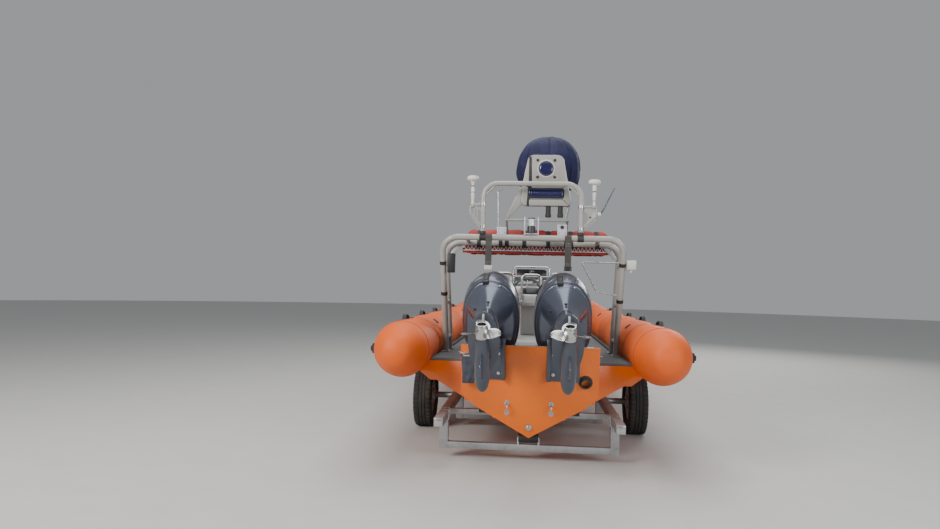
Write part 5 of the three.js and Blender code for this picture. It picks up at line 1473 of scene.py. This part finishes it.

# %% [markdown]
# On the port side of the transom hangs a drain trunk: a sleeve of rubberised cloth that lets
# deck water out and keeps the sea from coming in. It is a flattened tube that narrows
# towards its open mouth, with soft folds, clamped to a ring with a steel band. Its cloth is
# one open sleeve lofted from rings, and a solidify modifier gives it a thickness.

# %% Drain trunk
trunk_x, trunk_top, trunk_low, rows = -0.53, 1.035, 0.765, 18
shape, last = bmesh.new(), None
for row in range(rows + 1):
    t = row / rows
    z = trunk_top - (trunk_top - trunk_low) * t
    half, deep = 0.082 * (1 - 0.42 * t ** 1.4), 0.036 * (1 - 0.62 * t)
    ring = []
    for a in turns(40):
        crumple = noise.noise(Vector((*polar(2, a), z * 22)))
        fold = 0.006 * t * math.sin(5 * a + 3 * t) + 0.005 * crumple
        x = trunk_x - 0.02 * t + (half + fold) * math.cos(a)
        y = transom_y(z) - 0.046 - 0.012 * t + (deep + fold * 0.6) * math.sin(a)
        ring.append(shape.verts.new(at(x, min(y, transom_y(z) - 0.003), z)))
    edges = closed(shape, ring)
    if last:
        bmesh.ops.bridge_loops(shape, edges=last + edges)
    last = edges
bmesh.ops.recalc_face_normals(shape, faces=shape.faces)
trunk_area = sum(f.calc_area() for f in shape.faces)
trunk = piece(shape, "drain_trunk", "trunk_cloth", angle=80)
thicken(trunk, 0.0025)
steel = bmesh.new()
clamp_z, clamp_top = 1.02, 1.04
band = [on_transom(trunk_x + 0.0855 * math.cos(a), clamp_z, 0.043 - 0.0385 * math.sin(a))
        for a in full_turn(40)]
sweep(steel, strip(0.0012, 0.008), band)
block(steel, on_transom(trunk_x - 0.088, clamp_top, 0.06) - Vector((0, 0, 0.006)),
      on_transom(trunk_x + 0.088, clamp_top, 0.004), 0.002)
bolt(steel, on_transom(trunk_x + 0.02, clamp_z, 0.082), AFT, 0.005, 0.006)
piece(steel, "trunk_clamp", "stainless")
print("trunk cloth", round(trunk_area, 4), "m2")

# %% [markdown]
# The deck is a flat moulding with a gritty non-slip finish. Folding deck eyes take the
# lashings, and a low toe rail runs inside each tube.

# %% Deck
dressed("deck", "deck_grip", edge=0.003)
deck_z, toe_x, eye_x = 0.9656, 0.86, 0.7
bench, steel = benches(2)
for sign in (-1, 1):
    block_by(bench, at(sign * toe_x, 0.85, deck_z), (-0.012, 0, 0), (0.012, 3.55, 0.018), 0.005)
    for y in (0.62, 1.3, 2.4, 3.3, 4.3):
        eye = at(sign * eye_x, y, deck_z)
        turned(steel, disc(0.03, 0.028, 0.004, 0.006), eye - Vector((0, 0, 0.0005)), sides=24)
        ring = [eye + Vector((*polar(0.018, a), 0.007)) for a in full_turn(16)]
        pipe(steel, ring, 0.0035, sides=8)
piece(bench, "toe_rails", "black_rubber")
piece(steel, "deck_eyes", "stainless")
print("deck at", deck_z)

# %% [markdown]
# The console is a moulded box with a sloping dash. It carries a dark instrument panel with
# a blank screen and two round gauges, a tinted windscreen, a hand rail to hold on to, a
# pair of engine levers, a compass and a side door. Side lights sit on its shoulders.

# %% Console
half, top, base = 0.31, 1.8, 0.966
outline = [(3.48, base), (4.12, base), (4.14, base + 0.38), (3.97, top), (3.79, top),
           (3.46, base + 0.66), (3.46, base + 0.42), (3.52, base + 0.32)]
bench, black, steel, glass = benches(4)
plate(bench, eased(outline, 0.035), 2 * half, facing_side(-half), 0.016)
block(bench, at(-0.33, 3.5, base - 0.0004), at(0.33, 4.13, base + 0.022), 0.008)
hand_rail = [(-0.27, 3.88, 1.785), (-0.27, 3.92, 1.93), (0.27, 3.92, 1.93), (0.27, 3.88, 1.785)]
pipe(steel, [at(*p) for p in hand_rail], 0.014, 0.06, AHEAD)
for sign in (-1, 1):
    grab = [(0.309, 3.6, 1.5), (0.318, 3.61, 1.51), (0.318, 3.86, 1.62), (0.309, 3.87, 1.63)]
    pipe(steel, [at(sign * x, y, z) for x, y, z in grab], 0.009, sides=12)
    turned(steel, [(0, 0), (0.028, 0), (0.026, 0.004), (0.015, 0.006), (0, 0.006)],
           at(sign * 0.27, 3.88, 1.799), sides=24)
    block(bench, at(sign * 0.3095, 3.62, base + 0.1), at(sign * 0.3125, 3.98, base + 0.44), 0.001)
    for y, y2, z, z2 in ((3.645, 3.675, 0.25, 0.29), (3.955, 3.995, 0.16, 0.19),
                         (3.955, 3.995, 0.38, 0.41)):
        block(steel, at(sign * 0.312, y, base + z), at(sign * 0.3165, y2, base + z2), 0.001)
dash = Matrix.Translation(at(0, 3.625, 1.713)) @ Matrix.Rotation(math.radians(27.8), 4, "X")
behind_dash = dash @ Matrix.Translation((0, 0, -0.002))
plate(black, eased(strip(0.27, 0.15), 0.03), 0.006, behind_dash)
plate(glass, eased(oblong(-0.23, -0.1, 0.02, 0.11), 0.01), 0.012, behind_dash, 0.003)
bezel = [(0, 0), (0.042, 0), (0.042, 0.01), (0.036, 0.014), (0.035, 0.008), (0, 0.008)]
dial = [(0, 0.008), (0.0345, 0.008), (0.0345, 0.0095), (0, 0.0105)]
for x in (0.09, 0.19):
    turned(steel, bezel, (x, 0.06, 0.002), matrix=dash)
    turned(glass, dial, (x, 0.06, 0.002), matrix=dash)
for i in range(6):
    x = 0.06 + i * 0.03
    block(steel, (x, -0.09, 0.002), (x + 0.016, -0.06, 0.01), 0.002, matrix=dash)
    rod(black, (x + 0.008, -0.03, 0.003), (x + 0.008, -0.03, 0.011), 0.008, sides=16, edge=0.001,
        matrix=dash)
compass = at(0, 3.865, 1.802)
turned(black, [(0, -0.01), (0.052, -0.01), (0.052, 0.012), (0.046, 0.022), (0.046, 0.04),
               (0, 0.04)], compass, sides=36)
turned(glass, [(0, 0.036), (0.044, 0.036), (0.042, 0.052), (0.034, 0.068), (0.018, 0.078),
               (0, 0.081)], compass, sides=36)
screen = [(3.956, 1.782), (3.974, 1.782), (3.946, 1.898), (3.94, 1.898)]
plate(glass, screen, 0.44, facing_side(-0.22))
block(black, at(-0.225, 3.945, 1.79), at(0.225, 3.985, 1.806), 0.003)
block(black, at(0.15, 3.395, 1.566), at(0.23, 3.47, 1.656), 0.008, 3)
for x in (0.168, 0.205):
    rod(steel, at(x, 3.415, 1.626), at(x, 3.36, 1.756), 0.007, sides=16)
    rod(black, at(x - 0.014, 3.36, 1.756), at(x + 0.014, 3.36, 1.756), 0.016, sides=24, edge=0.005)
piece(bench, "console_box", "console_paint", instead_of="console")
piece(black, "console_panel", "panel_black")
piece(steel, "console_steel", "stainless")
piece(glass, "console_glass", "screen_dark")
for name, sign, tint in (("port_light", -1, "navigation_red"),
                         ("starboard_light", 1, "navigation_green")):
    bench = bmesh.new()
    block(bench, at(sign * 0.235, 3.935, 1.7995), at(sign * 0.285, 3.965, 1.832), 0.006, 3)
    piece(bench, name, tint)
print("console top", top)

# %% [markdown]
# The wheel has a padded rim on three spokes and turns on the console's aft face, so all of
# it rides on the helm's body. The rim is a circle of small radius spun round the shaft.

# %% Steering wheel
bench, steel = benches(2)
helm, rim_r, rim_thick = at(-0.06, 3.325, 1.56), 0.19, 0.0135


def on_wheel(radius, angle):
    across, up = polar(radius, angle)
    return helm + Vector((across, 0, up))


section = [(rim_r + c, s) for c, s in (polar(rim_thick, a) for a in full_turn(16))]
turned(bench, section, helm, AFT, 64)
for a in turns(3, 90):
    rod(steel, helm, on_wheel(0.18, a), 0.009, 0.006, 14)
    for k in range(9):
        b = a + 0.2 + k * 0.022
        turned(bench, [(0.0136, -0.0016), (0.015, 0), (0.0136, 0.0016), (0.0136, -0.0016)],
               on_wheel(rim_r, b), (-math.sin(b), 0, math.cos(b)), 14)
turned(steel, [(0, 0.02), (0.022, 0.02), (0.031, 0.014), (0.034, 0.004), (0.034, -0.03),
               (0.024, -0.034), (0.024, -0.1343), (0, -0.1343)], helm, AFT, 36)
piece(bench, "wheel_rim_grip", "seat_vinyl", "helm", 50, "steering_wheel")
piece(steel, "wheel_spokes", "stainless", "helm")
print("wheel radius", rim_r)

# %% [markdown]
# Three straddle seats stand on a low plinth: a narrow moulded pod that the crew sit across,
# a steel hoop behind to hold on to, and a firm vinyl cushion with a raised back and piped
# edges. A cushion is fuller in the middle than at its edges, so its section swells towards
# the top.

# %% Seats
seat_table = [("helm", 0.0, 2.78), ("port", -0.33, 1.95), ("starboard", 0.33, 1.95)]
pod_side = [(-0.27, 1.02), (0.25, 1.02), (0.31, 1.425), (0.31, 1.545), (-0.31, 1.545),
            (-0.31, 1.385)]
hoop_socket = [(0.016, 0), (0.024, 0), (0.022, 0.006), (0.0165, 0.01), (0.016, 0)]
cushion_z = 1.5405
pods, steel, piping = benches(3)
block(pods, at(-0.5, 1.56, 0.966), at(0.5, 3.06, 1.026), 0.012, 3)


def swelled(value, power):
    return math.copysign(abs(value) ** power, value)


for name, x, y in seat_table:
    plate(pods, eased([(y + a, z) for a, z in pod_side], 0.03), 0.26, facing_side(x - 0.13), 0.016)
    block(pods, at(x - 0.13, y - 0.34, 1.395), at(x + 0.13, y - 0.3, 1.455), 0.008)
    hoop_y = y - 0.328
    corners = ((-0.12, 1.405), (-0.12, 1.79), (0.12, 1.79), (0.12, 1.405))
    pipe(steel, [at(x + dx, hoop_y, z) for dx, z in corners], 0.016, 0.06, AHEAD)
    for sign in (-1, 1):
        turned(steel, hoop_socket, at(x + sign * 0.12, hoop_y, 1.455), sides=24)
        block_by(steel, at(x + sign * 0.1305, y, 1.17), (-0.002, -0.05, 0), (0.002, 0.05, 0.03),
                 0.001)
    rings, edge_line = [], {-1: [], 1: []}
    for step in range(33):
        s = 2 * step / 32 - 1
        fade = max(0.05, (1 - abs(s) ** 7)) ** 0.5
        back = 0.024 * max(0.0, (-s - 0.55) / 0.45) ** 1.5
        high = 0.088 + back + 0.004 * math.cos(s * 9)
        middle = at(x, y + 0.292 * s, cushion_z)
        ring = []
        for a in turns(32):
            across = 0.121 * fade * swelled(math.cos(a), 0.55)
            up = high * fade * 0.5 * (1 + swelled(math.sin(a), 0.62)) + (1 - fade) * 0.02
            ring.append(middle + Vector((across, 0, up)))
        rings.append(ring)
        for sign in (-1, 1):
            edge_line[sign].append(middle + Vector((sign * 0.1205 * fade, 0, high * 0.52)))
    cushion = bmesh.new()
    loft(cushion, rings)
    pad = piece(cushion, f"cushion_{name}", "seat_vinyl", angle=70)
    for sign in (-1, 1):
        pipe(piping, edge_line[sign][1:-1], 0.0028, sides=8)
    for cut in (8, 16, 24):
        pipe(piping, rings[cut][1:16], 0.0018, sides=6)
piece(pods, "seat_pods", "console_paint", instead_of="seats")
piece(steel, "seat_hoops", "stainless")
piece(piping, "cushion_piping", "engine_black")
print("seats", len(seat_table))

# %% [markdown]
# The anchor locker is a moulded box under a lid on two hinges. A strap-like rubber catch
# holds the lid shut and moves with it. The towing post at the bow is welded steel.

# %% Locker and bow post
dressed("anchor_locker", "hull_gelcoat", edge=0.008)
dressed("locker_lid", "hull_gelcoat", "lid", edge=0.006)
bench, steel, rubber = benches(3)
grip = Matrix.Translation(at(0, 4.87, 1.3584))
plate(bench, eased(oblong(-0.24, -0.25, 0.24, 0.22), 0.03), 0.003, grip, 0.001)
for x in (-0.18, 0.18):
    block(steel, at(x - 0.028, 5.135, 1.358), at(x + 0.028, 5.18, 1.3615), 0.001)
    for dx in (-0.014, 0.014):
        bolt(steel, at(x + dx, 5.155, 1.3612), UP, 0.004, 0.003)
block(rubber, at(-0.022, 4.54, 1.262), at(0.022, 4.5475, 1.35), 0.003)
block(rubber, at(-0.026, 4.536, 1.255), at(0.026, 4.548, 1.272), 0.003)
piece(bench, "lid_grip", "deck_grip", "lid")
piece(steel, "lid_hinges", "stainless", "lid")
piece(rubber, "lid_catch", "black_rubber", "lid")
dressed("bow_post", "stainless", edge=0.0015)
print("locker done")

# %% [markdown]
# The launching trolley is welded from square steel tube and dipped in zinc, which leaves a
# mottled grey. A copy of the solid, with all its faces kept, gets a small bevel. Its faces at
# the pads, the keel rollers and the bow stop are then given rubber instead of zinc, and weld
# seams, U-bolts and a towing eye are added.

# %% Trolley frame
rails_x, welded_y = 0.8, (0.3, 1.75, 4.85)
bolt_low, bolt_high = 0.372, 0.466


def tinted(made, finish, regions):
    made.data.materials.append(finishes[finish])
    for face in made.data.polygons:
        for low, high in regions:
            if all(l <= v <= h for l, v, h in zip(low, face.center, high)):
                face.material_index = len(made.data.materials) - 1


regions = []
for y, x in ((0.45, 0.4), (1.93, 0.42), (4.5, 0.42)):
    for middle in (-x, x):
        regions.append((at(middle - 0.08, y - 0.135, 0.4355), at(middle + 0.08, y + 0.135, 0.9)))
for y, keel in zip(welded_y, (0.26, 0.26, 0.279)):
    regions.append((at(-0.0865, y - 0.045, keel - 0.088), at(0.0865, y + 0.045, keel + 0.004)))
regions.append((at(-0.081, 7.235, 0.92), at(0.081, 7.286, 1.035)))
frame_piece = dressed("trolley_frame", "galvanised", edge=0.003, flatten=False)
tinted(frame_piece, "black_rubber", regions)
bench, steel = benches(2)
for y in welded_y:
    for sign in (-1, 1):
        rail = at(sign * rails_x, y, 0)
        for dx in (-0.044, 0.044):
            for dy in (-0.05, 0.05):
                leg = [rail + Vector((dx, dy, z)) for z in (bolt_low, bolt_high)]
                rod(steel, *leg, 0.005, sides=12)
        for dy in (-0.05, 0.05):
            bridge = [rail + Vector((dx, dy, bolt_high - 0.0015)) for dx in (-0.049, 0.049)]
            rod(steel, *bridge, 0.005, sides=12)
        weld = strip(0.0405, 0.0405)
        for z in (0.161, 0.379):
            pipe(bench, [rail + Vector((*p, z)) for p in weld + weld[:1]], 0.0035, sides=8)
for sign in (-1, 1):
    block_by(steel, at(sign * rails_x, -0.15, 0.42), (-0.034, -0.0015, -0.034),
             (0.034, 0.004, 0.034), 0.002)
eye_section = [(0.02 + c, s) for c, s in (polar(0.008, a) for a in full_turn(12))]
turned(bench, eye_section, at(0, 9.045, 0.44), ACROSS)
turned(bench, disc(0.036, 0.034, 0.006, 0.006), at(0, 8.72, 0.75), sides=28)
rod(steel, at(0, 8.605, 0.735), at(0, 8.605, 0.79), 0.011, 0.009, 18, 0.003)
piece(bench, "trolley_welds", "galvanised", angle=60)
piece(steel, "trolley_bolts", "stainless")
print("trolley regions", len(regions))

# %% [markdown]
# The winch stands on the bow post of the trolley. Its strap is pulled tight to an eye in
# the stem, so it is a stiff flat band and not a loose cord.

# %% Winch and its strap
dressed("winch", "galvanised", edge=0.002)
bench, steel = benches(2)
drum = at(0, 7.62, 1.1)
rod(bench, drum - Vector((0.06, 0, 0)), drum + Vector((0.06, 0, 0)), 0.0432, sides=36)
strap_line = [(7.619, 1.1445), (7.56, 1.143), (7.47, 1.1335), (7.395, 1.126)]
sweep(bench, strip(0.025, 0.0015), [at(0, y, z) for y, z in strap_line])
hook = [(7.4, 1.126), (7.36, 1.123), (7.335, 1.133), (7.315, 1.118), (7.335, 1.108)]
pipe(steel, [at(0, y, z) for y, z in hook], 0.006, 0, ACROSS, 12)
eye = [(-0.022, 7.285, 1.11), (-0.022, 7.33, 1.125), (0.022, 7.33, 1.125), (0.022, 7.285, 1.11)]
pipe(steel, [at(*p) for p in eye], 0.005, 0.012, (0, 1, 1), 12)
block(steel, at(-0.028, 7.392, 1.1225), at(0.028, 7.4, 1.13), 0.002)
for sign in (-1, 1):
    turned(steel, disc(0.05, 0.05, 0.004, 0.004), drum + Vector((sign * 0.062, 0, 0)), (sign, 0, 0))
piece(bench, "winch_strap", "webbing_black")
piece(steel, "winch_hook", "stainless")
print("winch strap", round(strap_line[0][0] - strap_line[-1][0], 3))

# %% [markdown]
# Tyres. A launching trolley has wide tyres with ribs round the tread and short bars on the
# shoulders. The carcass is turned from its section, with three grooves. The shoulder bars
# are small blocks placed round the wheel by a loop, and shallow rings mark the sidewall.

# %% Wheels
tread_half = [
    (0.206, -0.078), (0.214, -0.088), (0.232, -0.096), (0.262, -0.1035), (0.29, -0.1048),
    (0.318, -0.1015), (0.3375, -0.095), (0.348, -0.085), (0.354, -0.07), (0.3565, -0.042),
    (0.3495, -0.04), (0.3495, -0.033), (0.3572, -0.031), (0.358, -0.004), (0.3505, -0.003),
]
rim_section = [
    (0, -0.105), (0.06, -0.105), (0.068, -0.1), (0.07, -0.078), (0.085, -0.074), (0.16, -0.05),
    (0.176, -0.046), (0.192, -0.07), (0.2035, -0.0785), (0.2045, -0.074), (0.198, -0.062),
    (0.186, -0.03), (0.186, 0.03), (0.198, 0.062), (0.2045, 0.074), (0.2035, 0.0785),
    (0.192, 0.072), (0.176, 0.062), (0.16, 0.06), (0.11, 0.05), (0.066, 0.046), (0.06, 0.052),
    (0.059, 0.078), (0.052, 0.085), (0, 0.085),
]
bars_round = 44
for side, sign in SIDES:
    hub, axis, body = at(sign * 1.2, 1.75, 0.36), (sign, 0, 0), f"{side}_wheel"
    tyre, rim, steel = benches(3)
    turned(tyre, there_and_back(tread_half) + tread_half[:1], hub, axis, 96)
    for i in range(bars_round):
        for edge in (-1, 1):
            a = math.tau * (i + 0.5 * (edge > 0)) / bars_round
            spin = Matrix.Translation(hub) @ Matrix.Rotation(a, 4, "X")
            for x, x2, half, z, z2 in ((0.052, 0.088, 0.013, 0.344, 0.3592),
                                       (0.084, 0.0975, 0.011, 0.322, 0.35)):
                block(tyre, (edge * x, -half, z), (edge * x2, half, z2), 0.003, 1, spin)
    for r, out in ((0.24, 0.0975), (0.3, 0.1035)):
        for edge in (-1, 1):
            ridge = [(r - 0.002, out - 0.002), (r, out + 0.0012), (r + 0.002, out - 0.002),
                     (r - 0.002, out - 0.002)]
            turned(tyre, [(r, edge * h) for r, h in ridge], hub, axis, 64)
    turned(rim, rim_section, hub, axis, 72)
    for a in turns(5):
        spot = hub + Vector((sign * 0.047, *polar(0.088, a)))
        rod(steel, spot, spot + Vector((sign * 0.014, 0, 0)), 0.0105, sides=6, edge=0.0015)
        rod(steel, spot, spot + Vector((sign * 0.02, 0, 0)), 0.006, sides=14, edge=0.001)
    valve = hub + Vector((sign * 0.058, 0, 0.168))
    rod(steel, valve, valve + Vector((sign * 0.026, 0, -0.004)), 0.004, sides=12)
    piece(tyre, f"tyre_{side}_tread", "tyre_rubber", body, 34, f"tyre_{side}")
    piece(rim, f"rim_{side}_shape", "galvanised", body, 38, f"wheel_rim_{side}")
    piece(steel, f"wheel_nuts_{side}", "stainless", body)
dressed("jockey_fork", "galvanised", "jockey_swivel", edge=0.0015)
bench, rim, steel = benches(3)
hub, reach = at(0, 8.765, 0.11), Vector((0.05, 0, 0))
jockey_half = [(0.07, -0.03), (0.08, -0.034), (0.098, -0.035), (0.107, -0.029), (0.11, -0.016)]
turned(bench, there_and_back(jockey_half) + jockey_half[:1], hub, ACROSS, 64)
rim_half = [(0, -0.035), (0.022, -0.035), (0.024, -0.022), (0.05, -0.012), (0.068, -0.028),
            (0.0702, -0.028)]
turned(rim, there_and_back(rim_half), hub, ACROSS, 48)
rod(steel, hub - reach, hub + reach, 0.008, sides=16, edge=0.002)
piece(bench, "jockey_tyre", "tyre_rubber", "jockey_roller", 40, "jockey_wheel")
piece(rim, "jockey_rim", "grey_plate", "jockey_roller")
piece(steel, "jockey_axle", "stainless", "jockey_swivel")
print("tyre bars", bars_round * 4)

# %% [markdown]
# The stage. A pale floor lies under the wheels, and a pale even sky fills the shadows. One
# large soft lamp stands behind the camera on the left, a second one on the right is weaker,
# and a long one overhead draws the highlights along the tubes and the cowlings.

# %% Floor, lamps and sky
bench = bmesh.new()
bmesh.ops.create_circle(bench, cap_ends=True, segments=96, radius=45)
bmesh.ops.translate(bench, verts=bench.verts, vec=(0, 0, cad_box[0][2]))
floor_mesh = bpy.data.meshes.new("floor")
bench.to_mesh(floor_mesh)
bench.free()
floor = bpy.data.objects.new("floor", floor_mesh)
bpy.context.collection.objects.link(floor)
floor_material = bpy.data.materials.new("pale_floor")
floor_material.use_nodes = True
tree = floor_material.node_tree
speckle = noise_node(tree, object_place(tree), Scale=2.5, Detail=8, Roughness=0.65)
surface = tree.nodes["Principled BSDF"].inputs
tone = mixed(tree, speckle, (0.5, 0.495, 0.48, 1), (0.58, 0.575, 0.56, 1))
feed(tree, surface["Base Color"], tone)
feed(tree, surface["Roughness"], 0.85)
floor_mesh.materials.append(floor_material)

lamp_table = [
    # name, place, aimed at, width, height, watts, colour
    ("key", (-7.5, -8, 6.5), (0, 0.5, 1.3), 4, 4, 1300, (1, 0.97, 0.93)),
    ("fill", (6.5, -7, 4), (0, 0.5, 1.2), 4, 3, 420, (0.93, 0.96, 1)),
    ("overhead", (0, 2, 7.5), (0, 2, 0), 5, 9, 450, (1, 1, 1)),
    ("bow_side", (5.5, 12, 6), (0, 4, 1), 5, 4, 420, (1, 0.98, 0.95)),
]
for name, place, target, width, tall, watts, colour in lamp_table:
    lamp = bpy.data.lights.new(name, "AREA")
    lamp.shape, lamp.size, lamp.size_y = "RECTANGLE", width, tall
    lamp.energy, lamp.color = watts, colour
    holder = bpy.data.objects.new(name, lamp)
    bpy.context.collection.objects.link(holder)
    aim = (at(*target) - at(*place)).to_track_quat("-Z", "Y").to_matrix().to_4x4()
    holder.matrix_world = Matrix.Translation(at(*place)) @ aim

sky = bpy.data.worlds.new("pale_sky")
sky.use_nodes = True
background = sky.node_tree.nodes["Background"].inputs
background["Color"].default_value = (0.8, 0.83, 0.86, 1)
background["Strength"].default_value = 0.42
bpy.context.scene.world = sky
print("lamps", len(lamp_table))
